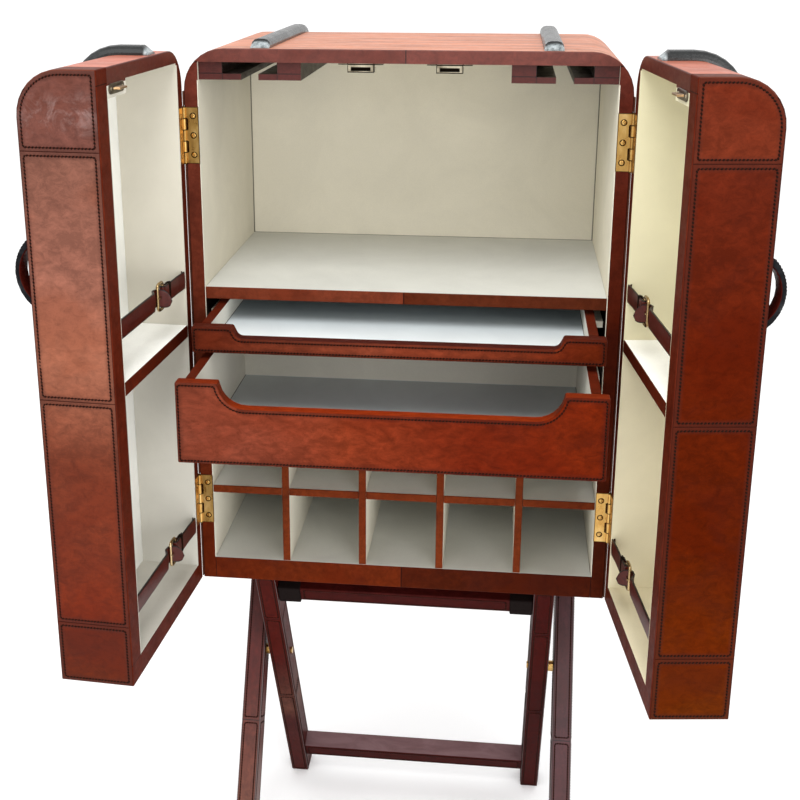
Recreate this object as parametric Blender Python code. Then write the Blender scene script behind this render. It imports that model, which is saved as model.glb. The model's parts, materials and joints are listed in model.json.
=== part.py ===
"""A trunk bar cabinet: a leather-covered trunk that opens as a bar, on a folding X stand.

The trunk is drawn in its own frame first. There x = 0 is its middle plane, y = 0 the plane of its
front edges and z = 0 its underside. Everything hangs from one empty, which is moved at the end, so
that the origin lies on the floor under the middle of the whole cabinet. All lengths are metres.
"""

import math

import bmesh
import bpy
from mathutils import Matrix, Vector

# Fits that the whole cabinet shares
TOUCH_GAP = 0.0003
MERGE_DISTANCE = 0.00003
CUT_OVERRUN = 0.004
ARC_STEPS = 8
SMALL_ARC_STEPS = 3
ROUND_SIDES = 16
SHARP_ANGLE = math.radians(50)
FLAT_ANGLE = math.radians(0.5)
SMOOTH_ANGLE = math.radians(30)

# Trunk case
TRUNK_WIDTH = 0.610
TRUNK_HEIGHT = 0.803
TRUNK_DEPTH = 0.369
SIDE_THICKNESS = 0.020
TOP_THICKNESS = 0.0184
FLOOR_THICKNESS = 0.0357
BACK_THICKNESS = 0.012
CASE_CORNER_RADIUS = 0.057
BACK_EDGE_RADIUS = 0.045
EDGE_ROUNDING = 0.0013
UPPER_SHELF_LEVEL = 0.4667
UPPER_SHELF_THICKNESS = 0.0177

# Bottle rack in the foot of the trunk
RACK_BOARD = 0.012
RACK_DIVIDER = 0.011
RACK_ROW_HEIGHT = 0.1083
RACK_COLUMNS = 5

# Rails that hang stemmed glasses
RAIL_DROP = 0.0246
RAIL_LIP_THICKNESS = 0.0083
RAIL_LIP_REACH = 0.026
RAIL_BLOCK_WIDTH = 0.033
RAIL_SLOT = 0.024
RAIL_SETBACK = 0.008
RAIL_LENGTH = 0.337

# Drawers
DRAWER_FRONT_CLEARANCE = 0.0055
DRAWER_FRONT_THICKNESS = 0.020
DRAWER_FRONT_ROUNDING = 0.002
DRAWER_BACK_CLEARANCE = 0.017
DRAWER_SIDE_CLEARANCE = 0.016
DRAWER_SIDE_THICKNESS = 0.013
DRAWER_BACK_THICKNESS = 0.012
DRAWER_BOTTOM_THICKNESS = 0.010
DRAWER_SETBACK = 0.001
DRAWER_HEADROOM = 0.0078
DRAWER_SPACING = 0.0092
UPPER_DRAWER_HEIGHT = 0.037
LOWER_DRAWER_HEIGHT = 0.1128
UPPER_DRAWER_OPENING = 0.114
LOWER_DRAWER_OPENING = 0.211
SCOOP_MARGIN = 0.0555
UPPER_SCOOP_DEPTH = 0.0155
UPPER_SCOOP_SLANT = 0.0075
UPPER_SCOOP_RADIUS = 0.010
LOWER_SCOOP_DEPTH = 0.0345
LOWER_SCOOP_SLANT = 0.008
LOWER_SCOOP_RADIUS = 0.036
RUNNER_GROOVE_HEIGHT = 0.010
RUNNER_GROOVE_DEPTH = 0.006

# Doors, each a shallow case of its own
DOOR_DEPTH = 0.101
DOOR_MEETING_GAP = 0.001
DOOR_FACE_THICKNESS = 0.012
DOOR_FREE_SIDE_THICKNESS = 0.032
DOOR_HINGE_SIDE_THICKNESS = 0.020
DOOR_FLOOR_THICKNESS = 0.0305
DOOR_CORNER_RADIUS = 0.050
DOOR_FACE_EDGE_RADIUS = 0.056
DOOR_CORNER_BLOCK = 0.020
DOOR_SHELF_LEVEL = 0.4142
DOOR_SHELF_THICKNESS = 0.0179
LEFT_DOOR_OPEN = math.radians(93.75)
RIGHT_DOOR_OPEN = math.radians(96.75)

# Hinges
DOOR_TO_CASE_GAP = 0.0014
UPPER_HINGE_DROP = 0.119
LOWER_HINGE_RISE = 0.133
HINGE_HEIGHT = 0.078
HINGE_KNUCKLES = 5
HINGE_BARREL_RADIUS = 0.0029
HINGE_BARREL_LET_IN = 0.0019
HINGE_PIN_RADIUS = 0.0013
HINGE_PIN_HEAD_RADIUS = 0.0025
HINGE_PIN_HEAD_HEIGHT = 0.0015
HINGE_LEAF_THICKNESS = 0.0018
HINGE_LET_IN = 0.0014
CASE_LEAF_WIDTH = 0.0194
DOOR_LEAF_WIDTH = 0.018

# Catches and strikes
CATCH_OFFSET = 0.060
CATCH_SETBACK = 0.002
CATCH_WIDTH = 0.036
CATCH_HEIGHT = 0.012
CATCH_LENGTH = 0.016
CATCH_EAR_SPAN = 0.061
CATCH_EAR_THICKNESS = 0.0015
TONGUE_DROP = 0.0076
TONGUE_WIDTH = 0.024
TONGUE_THICKNESS = 0.0025
TONGUE_LENGTH = 0.0085
TONGUE_CLEARANCE = 0.001
STRIKE_PLATE_WIDTH = 0.049
STRIKE_PLATE_HEIGHT = 0.0125
STRIKE_PLATE_THICKNESS = 0.0012
STRIKE_ROUNDING_SHARE = 0.9
STRIKE_BLOCK_WIDTH = 0.060
STRIKE_BLOCK_HEIGHT = 0.018
STRIKE_BLOCK_DEPTH = 0.014

# Buckled straps across the doors
STRAP_WIDTH = 0.025
STRAP_THICKNESS = 0.002
STRAP_INSET = 0.0055
STRAP_TUCK = 0.006
STRAP_EASE_RADIUS = 0.003
STRAP_RISE = 0.067
TIP_INSET = 0.0007
BUCKLE_PLACE = 0.098
BUCKLE_REACH = 0.020
BUCKLE_HEIGHT = 0.0365
BUCKLE_BAR_RADIUS = 0.0022
BUCKLE_CORNER_RADIUS = 0.004
PRONG_RADIUS = 0.0012
TIP_ROUNDING_SHARE = 0.98
KEEPER_WIDTH = 0.006
KEEPER_THICKNESS = 0.001
# Where each length bends, in buckle reaches from the heel bar towards the free side
FREE_LENGTH_SHARES = (1.9, 1.5, 0.8, 0.3, -1.4)
HINGE_LENGTH_SHARES = (-2.5, -1.3, -0.3, -0.6, -1.2)
KEEPER_SHARE = -1

# Slats over the top, and the door handles
SLAT_WIDTH = 0.0265
SLAT_HEIGHT = 0.012
SLAT_ROUNDING = 0.009
SLAT_INSET = 0.107
SLAT_SETBACK = 0.003
SLAT_TAPER = 0.010
SLAT_END_RISE_SHARE = 0.25
HANDLE_LEVEL = 0.558
HANDLE_LENGTH = 0.088
HANDLE_PROJECTION = 0.0215
HANDLE_THICKNESS = 0.0065
HANDLE_FOOT = 0.011
HANDLE_WIDTH = 0.024
HANDLE_FROM_FREE_EDGE = 0.020

# Folding stand
STAND_HEIGHT = 0.596
LEG_TILT = math.radians(27.1)
LEG_WIDTH = 0.032
LEG_DEPTH = 0.045
FOOT_ROUNDING = 0.004
LEG_INSET = 0.085
LEG_SPACING = 0.010
PIVOT_SETBACK = 0.182
PIVOT_DROP = 0.233
RAIL_SECTION = 0.032
TOP_RAIL_RISE = 0.196
LOWER_RAIL_DROP = 0.328
LOWER_RAIL_DEPTH = 0.033
SLEEVE_LENGTH = 0.036
SLEEVE_THICKNESS = 0.003
STAND_EDGE_ROUNDING = 0.002
BOLT_RADIUS = 0.0035
BOLT_HEAD_RADIUS = 0.006
BOLT_HEAD_HEIGHT = 0.0025
SPACER_RADIUS = 0.009
BOLT_SOCKET = 0.024

# Places worked out from those sizes
CASE_INNER_HALF = TRUNK_WIDTH / 2 - SIDE_THICKNESS
CASE_CEILING = TRUNK_HEIGHT - TOP_THICKNESS
CASE_BACK = TRUNK_DEPTH - BACK_THICKNESS
DRAWER_LENGTH = CASE_BACK - DRAWER_BACK_CLEARANCE
DRAWER_FRONT_WIDTH = 2 * (CASE_INNER_HALF - DRAWER_FRONT_CLEARANCE)
DRAWER_BOX_WIDTH = 2 * (CASE_INNER_HALF - DRAWER_SIDE_CLEARANCE)
SCOOP_WIDTH = DRAWER_FRONT_WIDTH - 2 * SCOOP_MARGIN
SLAT_OFFSET = TRUNK_WIDTH / 2 - SLAT_INSET
RACK_SHELF_BASE = FLOOR_THICKNESS + RACK_ROW_HEIGHT
RACK_TOP_BASE = RACK_SHELF_BASE + RACK_BOARD + RACK_ROW_HEIGHT
UPPER_DRAWER_TOP = UPPER_SHELF_LEVEL - UPPER_SHELF_THICKNESS - DRAWER_HEADROOM
LOWER_DRAWER_TOP = UPPER_DRAWER_TOP - UPPER_DRAWER_HEIGHT - DRAWER_SPACING
DOOR_WIDTH = (TRUNK_WIDTH - DOOR_MEETING_GAP) / 2
DOOR_CAVITY_DEPTH = DOOR_DEPTH - DOOR_FACE_THICKNESS
DOOR_FREE_WALL = DOOR_WIDTH - DOOR_FREE_SIDE_THICKNESS
HINGE_LEVELS = (TRUNK_HEIGHT - UPPER_HINGE_DROP, LOWER_HINGE_RISE)
STRAP_LEVELS = (DOOR_SHELF_LEVEL + STRAP_RISE, DOOR_FLOOR_THICKNESS + STRAP_RISE)
HINGE_OFFSET = HINGE_BARREL_RADIUS - HINGE_BARREL_LET_IN
HINGE_SETBACK = DOOR_TO_CASE_GAP / 2
INNER_LEG_OFFSET = TRUNK_WIDTH / 2 - LEG_INSET
INNER_LEG_FACE = INNER_LEG_OFFSET - LEG_WIDTH / 2
OUTER_LEG_FACE = INNER_LEG_OFFSET + LEG_WIDTH / 2 + LEG_SPACING


def clear_scene():
    for obj in list(bpy.data.objects):
        bpy.data.objects.remove(obj, do_unlink=True)


def finish(name, colour, roughness, metallic=0):
    """One Principled BSDF material."""
    material = bpy.data.materials.new(name)
    material.use_nodes = True
    shader = material.node_tree.nodes["Principled BSDF"]
    shader.inputs["Base Color"].default_value = (*colour, 1)
    shader.inputs["Roughness"].default_value = roughness
    shader.inputs["Metallic"].default_value = metallic
    material.diffuse_color = (*colour, 1)
    return material


def rounded(corners, steps=ARC_STEPS, closed=True):
    """The points of an outline or a path through corners (u, v, radius), each turned by an arc."""
    points = []
    for index, (u, v, radius) in enumerate(corners):
        here = Vector((u, v))
        at_end = not closed and index in (0, len(corners) - 1)
        if radius == 0 or at_end:
            points.append(here)
            continue
        before = (Vector(corners[index - 1][:2]) - here).normalized()
        after = (Vector(corners[(index + 1) % len(corners)][:2]) - here).normalized()
        half_angle = before.angle(after) / 2
        centre = here + (before + after).normalized() * (radius / math.sin(half_angle))
        start = here + before * (radius / math.tan(half_angle)) - centre
        end = here + after * (radius / math.tan(half_angle)) - centre
        turn = math.atan2(start.x * end.y - start.y * end.x, start.dot(end))
        for step in range(steps + 1):
            spoke = start.copy()
            spoke.rotate(Matrix.Rotation(turn * step / steps, 2))
            if not points or (centre + spoke - points[-1]).length > MERGE_DISTANCE:
                points.append(centre + spoke)
    return points


def band(path, thickness):
    """The outline of a strip of even thickness along an open path."""
    left = []
    right = []
    for index, here in enumerate(path):
        before = (here - path[index - 1]).normalized() if index else None
        after = (path[index + 1] - here).normalized() if index < len(path) - 1 else None
        heading = ((before or after) + (after or before)).normalized()
        side = Vector((-heading.y, heading.x))
        reach = thickness / 2 / heading.dot(before or after)
        left.append(here + side * reach)
        right.append(here - side * reach)
    return left + right[::-1]


def prism(outline, axis, start, end):
    """A solid whose outline is drawn square to an axis and extruded along it."""
    place = {
        "x": lambda point: (start, point[0], point[1]),
        "y": lambda point: (point[0], start, point[1]),
        "z": lambda point: (point[0], point[1], start),
    }[axis]
    shape = bmesh.new()
    face = shape.faces.new([shape.verts.new(place(point)) for point in outline])
    made = bmesh.ops.extrude_face_region(shape, geom=[face])["geom"]
    moved = [item for item in made if isinstance(item, bmesh.types.BMVert)]
    travel = Vector([end - start if letter == axis else 0 for letter in "xyz"])
    bmesh.ops.translate(shape, verts=moved, vec=travel)
    bmesh.ops.recalc_face_normals(shape, faces=shape.faces)
    return shape


def box(low, high):
    shape = bmesh.new()
    middle = (Vector(low) + Vector(high)) / 2
    size = Vector(high) - Vector(low)
    matrix = Matrix.Translation(middle) @ Matrix.Diagonal((*size, 1))
    bmesh.ops.create_cube(shape, size=1, matrix=matrix)
    return shape


def turned(profile, axis):
    """A solid turned about an axis through the origin, from a profile of (radius, along) points."""
    shape = bmesh.new()
    across = Vector((1, 0, 0)) if axis == "z" else Vector((0, 1, 0))
    along = Vector((0, 0, 1)) if axis == "z" else Vector((1, 0, 0))
    verts = [shape.verts.new(across * radius + along * height) for radius, height in profile]
    edges = [shape.edges.new(pair) for pair in zip(verts, verts[1:])]
    bmesh.ops.spin(
        shape,
        geom=verts + edges,
        cent=(0, 0, 0),
        axis=along,
        angle=2 * math.pi,
        steps=ROUND_SIDES,
        use_merge=True,
    )
    bmesh.ops.remove_doubles(shape, verts=shape.verts, dist=MERGE_DISTANCE)
    bmesh.ops.recalc_face_normals(shape, faces=shape.faces)
    return shape


def rod(radius, start, end, axis):
    return turned([(0, start), (radius, start), (radius, end), (0, end)], axis)


def from_object(obj):
    """The evaluated mesh of a helper object as a new shape. The helper goes."""
    bpy.context.scene.collection.objects.link(obj)
    graph = bpy.context.evaluated_depsgraph_get()
    mesh = bpy.data.meshes.new_from_object(obj.evaluated_get(graph))
    shape = bmesh.new()
    shape.from_mesh(mesh)
    bpy.data.meshes.remove(mesh)
    bpy.data.objects.remove(obj, do_unlink=True)
    return shape


def tube(points, radius, closed=False):
    """A round bar along a path of straight runs."""
    curve = bpy.data.curves.new("tube", "CURVE")
    curve.dimensions = "3D"
    curve.bevel_depth = radius
    curve.bevel_resolution = 2
    curve.use_fill_caps = not closed
    spline = curve.splines.new("POLY")
    spline.points.add(len(points) - 1)
    for point, place in zip(spline.points, points):
        point.co = (*place, 1)
    spline.use_cyclic_u = closed
    shape = from_object(bpy.data.objects.new("tube", curve))
    bmesh.ops.remove_doubles(shape, verts=shape.verts, dist=MERGE_DISTANCE)
    bmesh.ops.recalc_face_normals(shape, faces=shape.faces)
    return shape


def combined(base, operation, *tools):
    """The base after a Boolean with each tool in turn."""
    for tool in tools:
        pair = []
        for shape in (base, tool):
            mesh = bpy.data.meshes.new("solid")
            shape.to_mesh(mesh)
            pair.append(bpy.data.objects.new("solid", mesh))
        bpy.context.scene.collection.objects.link(pair[1])
        boolean = pair[0].modifiers.new("boolean", "BOOLEAN")
        boolean.operation = operation
        boolean.solver = "EXACT"
        boolean.object = pair[1]
        base = from_object(pair[0])
        bpy.data.objects.remove(pair[1], do_unlink=True)
    return base


def moved(shape, offset):
    copy = shape.copy()
    bmesh.ops.translate(copy, verts=copy.verts, vec=offset)
    return copy


def mirrored(shape, side):
    """The shape itself on the +X side, and its mirror image across x = 0 on the -X side."""
    copy = shape.copy()
    bmesh.ops.scale(copy, verts=copy.verts, vec=(side, 1, 1))
    bmesh.ops.recalc_face_normals(copy, faces=copy.faces)
    return copy


def softened(shape, width):
    """The shape with a small bevel along its sharp edges."""
    bmesh.ops.dissolve_limit(shape, angle_limit=FLAT_ANGLE, verts=shape.verts, edges=shape.edges)
    sharp = [edge for edge in shape.edges if edge.calc_face_angle(0) > SHARP_ANGLE]
    bmesh.ops.bevel(shape, geom=sharp, offset=width, segments=2, profile=0.5, affect="EDGES")
    bmesh.ops.remove_doubles(shape, verts=shape.verts, dist=MERGE_DISTANCE)
    return shape


def add_piece(name, shape, material, parent):
    """One named object from a shape drawn in its parent's frame."""
    mesh = bpy.data.meshes.new(name)
    shape.to_mesh(mesh)
    mesh.materials.append(material)
    mesh.shade_smooth()
    mesh.set_sharp_from_angle(angle=SMOOTH_ANGLE)
    piece = bpy.data.objects.new(name, mesh)
    piece.parent = parent
    bpy.context.scene.collection.objects.link(piece)
    return piece


def add_frame(name, place, turn, parent):
    """An empty that carries the pieces of one body, on its joint."""
    frame = bpy.data.objects.new(name, None)
    frame.location = place
    frame.rotation_euler = turn
    frame.parent = parent
    bpy.context.scene.collection.objects.link(frame)
    return frame


def trunk_shell():
    """The trunk's outer block: rounded top corners, and a rounded top edge at the back."""
    half = TRUNK_WIDTH / 2
    end_outline = rounded(
        [
            (-half, 0, 0),
            (half, 0, 0),
            (half, TRUNK_HEIGHT, CASE_CORNER_RADIUS),
            (-half, TRUNK_HEIGHT, CASE_CORNER_RADIUS),
        ]
    )
    side_outline = rounded(
        [
            (0, -CUT_OVERRUN, 0),
            (TRUNK_DEPTH, -CUT_OVERRUN, 0),
            (TRUNK_DEPTH, TRUNK_HEIGHT, BACK_EDGE_RADIUS),
            (0, TRUNK_HEIGHT, 0),
        ]
    )
    block = prism(end_outline, "y", -CUT_OVERRUN, TRUNK_DEPTH + CUT_OVERRUN)
    trim = prism(side_outline, "x", -half - CUT_OVERRUN, half + CUT_OVERRUN)
    return softened(combined(block, "INTERSECT", trim), EDGE_ROUNDING)


def add_case(trunk, leather):
    """Floor, sides, top and back of the trunk, sliced from its rounded block, and the upper shelf."""
    shell = trunk_shell()
    half = TRUNK_WIDTH / 2 + CUT_OVERRUN
    inner = CASE_INNER_HALF - TOUCH_GAP
    front = -CUT_OVERRUN
    back = CASE_BACK - TOUCH_GAP
    above = TRUNK_HEIGHT + CUT_OVERRUN
    side = box((CASE_INNER_HALF, front, -CUT_OVERRUN), (half, TRUNK_DEPTH + CUT_OVERRUN, above))
    right_side = combined(shell, "INTERSECT", side)
    for level in HINGE_LEVELS:
        recess = moved(leaf_recess(CASE_LEAF_WIDTH), (0, 0, level))
        right_side = combined(right_side, "DIFFERENCE", on_case(recess, 1))
    right_side = combined(right_side, "UNION", *runners())
    add_piece("right_side_panel", right_side, leather, trunk)
    add_piece("left_side_panel", mirrored(right_side, -1), leather, trunk)
    top = combined(shell, "INTERSECT", box((-inner, front, CASE_CEILING), (inner, back, above)))
    add_piece("top_panel", combined(top, "UNION", *glass_rails()), leather, trunk)
    add_piece("bottom_panel", case_board(0, FLOOR_THICKNESS), leather, trunk)
    rear = box((-inner, CASE_BACK, -CUT_OVERRUN), (inner, TRUNK_DEPTH + CUT_OVERRUN, above))
    add_piece("back_panel", combined(shell, "INTERSECT", rear), leather, trunk)
    shelf = case_board(UPPER_SHELF_LEVEL - UPPER_SHELF_THICKNESS, UPPER_SHELF_LEVEL)
    add_piece("upper_shelf", shelf, leather, trunk)


def board(left, right, back, low, high):
    """A level board that starts at an open front, where its edges are rounded."""
    outline = rounded(
        [(0, low, EDGE_ROUNDING), (back, low, 0), (back, high, 0), (0, high, EDGE_ROUNDING)],
        SMALL_ARC_STEPS,
    )
    return prism(outline, "x", left, right)


def case_board(low, high):
    """A board across the trunk, from side to side and from front to back."""
    inner = CASE_INNER_HALF - TOUCH_GAP
    return board(-inner, inner, CASE_BACK - TOUCH_GAP, low, high)


def add_rack(trunk, leather):
    """The bottle rack. Its shelf and dividers are halved into each other where they cross."""
    back = CASE_BACK - TOUCH_GAP
    halfway = CASE_BACK / 2
    top_board = case_board(RACK_TOP_BASE, RACK_TOP_BASE + RACK_BOARD)
    add_piece("rack_top_panel", top_board, leather, trunk)
    shelf = case_board(RACK_SHELF_BASE, RACK_SHELF_BASE + RACK_BOARD)
    half_board = RACK_DIVIDER / 2
    pitch = (2 * CASE_INNER_HALF + RACK_DIVIDER) / RACK_COLUMNS
    for number in range(1, RACK_COLUMNS):
        place = number * pitch - half_board - CASE_INNER_HALF
        slot = half_board + TOUCH_GAP
        shelf_slot = box(
            (place - slot, -CUT_OVERRUN, RACK_SHELF_BASE - CUT_OVERRUN),
            (place + slot, halfway + TOUCH_GAP, RACK_SHELF_BASE + RACK_BOARD + CUT_OVERRUN),
        )
        shelf = combined(shelf, "DIFFERENCE", shelf_slot)
        outline = rounded(
            [
                (place - half_board, 0, EDGE_ROUNDING),
                (place + half_board, 0, EDGE_ROUNDING),
                (place + half_board, back, 0),
                (place - half_board, back, 0),
            ],
            SMALL_ARC_STEPS,
        )
        divider = prism(outline, "z", FLOOR_THICKNESS + TOUCH_GAP, RACK_TOP_BASE - TOUCH_GAP)
        divider_slot = box(
            (place - half_board - CUT_OVERRUN, halfway, RACK_SHELF_BASE - TOUCH_GAP),
            (
                place + half_board + CUT_OVERRUN,
                back + CUT_OVERRUN,
                RACK_SHELF_BASE + RACK_BOARD + TOUCH_GAP,
            ),
        )
        divider = combined(divider, "DIFFERENCE", divider_slot)
        add_piece(f"rack_divider_{number}", divider, leather, trunk)
    add_piece("rack_shelf", shelf, leather, trunk)


def glass_rails():
    """Two L-shaped rails a side under the top, whose lips leave a slot for the stems of glasses."""
    top = CASE_CEILING + TOP_THICKNESS / 4
    low = CASE_CEILING - RAIL_DROP
    wall = CASE_INNER_HALF - TOUCH_GAP
    outer_face = wall - RAIL_BLOCK_WIDTH
    slot_start = outer_face - RAIL_LIP_REACH
    slot_end = slot_start - RAIL_SLOT
    inner_face = slot_end - RAIL_LIP_REACH
    rails = []
    for block, channel, lip in (
        (wall, outer_face, slot_start),
        (inner_face - RAIL_BLOCK_WIDTH, inner_face, slot_end),
    ):
        outline = [
            (block, low),
            (lip, low),
            (lip, low + RAIL_LIP_THICKNESS),
            (channel, low + RAIL_LIP_THICKNESS),
            (channel, top),
            (block, top),
        ]
        rail = prism(outline, "y", RAIL_SETBACK, RAIL_SETBACK + RAIL_LENGTH)
        rails += [mirrored(rail, 1), mirrored(rail, -1)]
    return rails


def runners():
    """The bars on the right side panel that fit the drawers' grooves."""
    bars = []
    for top, height in (
        (UPPER_DRAWER_TOP, UPPER_DRAWER_HEIGHT),
        (LOWER_DRAWER_TOP, LOWER_DRAWER_HEIGHT),
    ):
        middle = top - height / 2
        half = RUNNER_GROOVE_HEIGHT / 2 - TOUCH_GAP
        inner = DRAWER_BOX_WIDTH / 2 - RUNNER_GROOVE_DEPTH + TOUCH_GAP
        start = DRAWER_SETBACK + DRAWER_FRONT_THICKNESS + TOUCH_GAP
        outer = CASE_INNER_HALF + SIDE_THICKNESS / 4
        bars.append(box((inner, start, middle - half), (outer, DRAWER_LENGTH, middle + half)))
    return bars


def add_catches(trunk, metal):
    """Two box catches under the top panel. Each has two ears, and a mouth for its door's tongue."""
    top = CASE_CEILING - TOUCH_GAP
    low = top - CATCH_HEIGHT
    ear = top - CATCH_EAR_THICKNESS
    half = CATCH_WIDTH / 2
    span = CATCH_EAR_SPAN / 2
    outline = [
        (-half, low),
        (half, low),
        (half, ear),
        (span, ear),
        (span, top),
        (-span, top),
        (-span, ear),
        (-half, ear),
    ]
    body = prism(outline, "y", CATCH_SETBACK, CATCH_SETBACK + CATCH_LENGTH)
    level = CASE_CEILING - TONGUE_DROP
    reach = TONGUE_LENGTH + STRIKE_PLATE_THICKNESS - DOOR_TO_CASE_GAP + TONGUE_CLEARANCE
    gape = TONGUE_THICKNESS / 2 + TONGUE_CLEARANCE
    breadth = TONGUE_WIDTH / 2 + TONGUE_CLEARANCE
    mouth = box((-breadth, -CUT_OVERRUN, level - gape), (breadth, reach, level + gape))
    catch = combined(body, "DIFFERENCE", mouth)
    for name, side in (("left", -1), ("right", 1)):
        add_piece(f"{name}_catch", moved(catch, (side * CATCH_OFFSET, 0, 0)), metal, trunk)


def slat(setback, flat_end, edge_centre, edge_radius):
    """A half-round slat that lies along the top and runs over its rounded edge."""
    half = SLAT_WIDTH / 2
    profile = rounded(
        [
            (-half, 0, 0),
            (half, 0, 0),
            (half, SLAT_HEIGHT, SLAT_ROUNDING),
            (-half, SLAT_HEIGHT, SLAT_ROUNDING),
        ],
        SMALL_ARC_STEPS,
    )
    level = TRUNK_HEIGHT + TOUCH_GAP
    stations = [
        (Vector((setback, level)), Vector((0, 1)), SLAT_END_RISE_SHARE),
        (Vector((setback + SLAT_TAPER, level)), Vector((0, 1)), 1),
    ]
    for step in range(ARC_STEPS + 1):
        angle = math.pi / 2 * (1 - step / ARC_STEPS)
        normal = Vector((math.cos(angle), math.sin(angle)))
        place = Vector((flat_end, edge_centre)) + normal * (edge_radius + TOUCH_GAP)
        stations.append((place, normal, SLAT_END_RISE_SHARE if step == ARC_STEPS else 1))
    shape = bmesh.new()
    rings = []
    for place, normal, rise in stations:
        ring = []
        for across, height in profile:
            point = place + normal * (height * rise)
            ring.append(shape.verts.new((across, point.x, point.y)))
        rings.append(ring)
    shape.faces.new(rings[0])
    shape.faces.new(rings[-1])
    for first, second in zip(rings, rings[1:]):
        for index in range(len(profile)):
            following = (index + 1) % len(profile)
            corners = (first[index], first[following], second[following], second[index])
            shape.faces.new(corners)
    bmesh.ops.recalc_face_normals(shape, faces=shape.faces)
    return shape


def add_top_slats(trunk, blackened):
    flat_end = TRUNK_DEPTH - BACK_EDGE_RADIUS
    centre = TRUNK_HEIGHT - BACK_EDGE_RADIUS
    bar = slat(SLAT_SETBACK, flat_end, centre, BACK_EDGE_RADIUS)
    for name, side in (("left", -1), ("right", 1)):
        add_piece(f"{name}_top_slat", moved(bar, (side * SLAT_OFFSET, 0, 0)), blackened, trunk)


def leaf_recess(width):
    """The cut that lets one hinge leaf and its barrel into an edge, in the hinge's own frame."""
    reach = HINGE_OFFSET + width + TOUCH_GAP
    depth = HINGE_SETBACK + HINGE_LET_IN + TOUCH_GAP
    half = HINGE_HEIGHT / 2 + TOUCH_GAP
    before = -CUT_OVERRUN
    leaf = box((before, before, -half), (reach, depth, half))
    around = HINGE_BARREL_RADIUS + TOUCH_GAP
    tall = half + HINGE_PIN_HEAD_HEIGHT
    return combined(leaf, "UNION", box((before, before, -tall), (around, around, tall)))


def hinge_leaf(width, numbers):
    """One leaf with the numbered knuckles, in the hinge's own frame: the pin stands on its Z axis,
    the leaf reaches along +X and its board lies on the +Y side."""
    front = HINGE_SETBACK + HINGE_LET_IN - HINGE_LEAF_THICKNESS
    back = HINGE_SETBACK + HINGE_LET_IN
    half = HINGE_HEIGHT / 2
    pitch = HINGE_HEIGHT / HINGE_KNUCKLES
    start = HINGE_BARREL_RADIUS + TOUCH_GAP
    leaf = box((start, front, -half), (HINGE_OFFSET + width, back, half))
    for number in numbers:
        low = number * pitch - half + TOUCH_GAP / 2
        high = low + pitch - TOUCH_GAP
        tongue = box((0, front, low), (HINGE_OFFSET + width / 2, back, high))
        leaf = combined(leaf, "UNION", tongue, rod(HINGE_BARREL_RADIUS, low, high, "z"))
    return leaf


def case_leaf():
    """The trunk's leaf. Its odd knuckles grip the pin."""
    return combined(hinge_leaf(CASE_LEAF_WIDTH, range(0, HINGE_KNUCKLES, 2)), "UNION", hinge_pin())


def door_leaf():
    """The door's leaf. Its even knuckles turn on the pin."""
    half = HINGE_HEIGHT / 2 + CUT_OVERRUN
    bore = rod(HINGE_PIN_RADIUS + TOUCH_GAP, -half, half, "z")
    return combined(hinge_leaf(DOOR_LEAF_WIDTH, range(1, HINGE_KNUCKLES, 2)), "DIFFERENCE", bore)


def hinge_pin():
    """A pin with a domed head at both ends of its barrel."""
    half = HINGE_HEIGHT / 2
    dome = half + HINGE_PIN_HEAD_HEIGHT
    shoulder = half + HINGE_PIN_HEAD_HEIGHT / 2
    profile = [
        (0, -dome),
        (HINGE_PIN_RADIUS, -dome),
        (HINGE_PIN_HEAD_RADIUS, -shoulder),
        (HINGE_PIN_HEAD_RADIUS, TOUCH_GAP - half),
        (HINGE_PIN_RADIUS, TOUCH_GAP - half),
        (HINGE_PIN_RADIUS, half - TOUCH_GAP),
        (HINGE_PIN_HEAD_RADIUS, half - TOUCH_GAP),
        (HINGE_PIN_HEAD_RADIUS, shoulder),
        (HINGE_PIN_RADIUS, dome),
        (0, dome),
    ]
    return turned(profile, "z")


def on_case(shape, side):
    """A hinge's own frame set on the trunk's front edge, on the +X or the -X side."""
    copy = shape.copy()
    bmesh.ops.scale(copy, verts=copy.verts, vec=(-side, 1, 1))
    offset = Vector((side * (TRUNK_WIDTH / 2 + HINGE_OFFSET), -HINGE_SETBACK, 0))
    bmesh.ops.translate(copy, verts=copy.verts, vec=offset)
    bmesh.ops.recalc_face_normals(copy, faces=copy.faces)
    return copy


def on_door(shape, side):
    """A hinge's own frame set in the frame of a door, whose origin stands on the pin too."""
    copy = shape.copy()
    bmesh.ops.scale(copy, verts=copy.verts, vec=(-side, -1, 1))
    bmesh.ops.recalc_face_normals(copy, faces=copy.faces)
    return copy


def add_hinges(trunk, doors, brass):
    """Two knuckled hinges a side, each a leaf with the pin on the trunk and a leaf on the door."""
    on_trunk = case_leaf()
    on_boards = door_leaf()
    for label, side, door in (("left", -1, doors[0]), ("right", 1, doors[1])):
        for place, level in zip(("upper", "lower"), HINGE_LEVELS):
            fixed = on_case(moved(on_trunk, (0, 0, level)), side)
            add_piece(f"{label}_{place}_case_hinge", fixed, brass, trunk)
            swinging = on_door(moved(on_boards, (0, 0, level)), side)
            add_piece(f"{label}_{place}_door_hinge", swinging, brass, door)


def drawer_outline(top, height, depth, slant, radius):
    """A drawer front with a scoop in its top edge to take the drawer by."""
    half = DRAWER_FRONT_WIDTH / 2
    mouth = SCOOP_WIDTH / 2
    floor = mouth - slant
    low = top - height
    rim = top - depth
    return rounded(
        [
            (-half, low, 0),
            (half, low, 0),
            (half, top, 0),
            (mouth, top, 0),
            (floor, rim, radius),
            (-floor, rim, radius),
            (-mouth, top, 0),
            (-half, top, 0),
        ],
        SMALL_ARC_STEPS * 2,
    )


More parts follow.
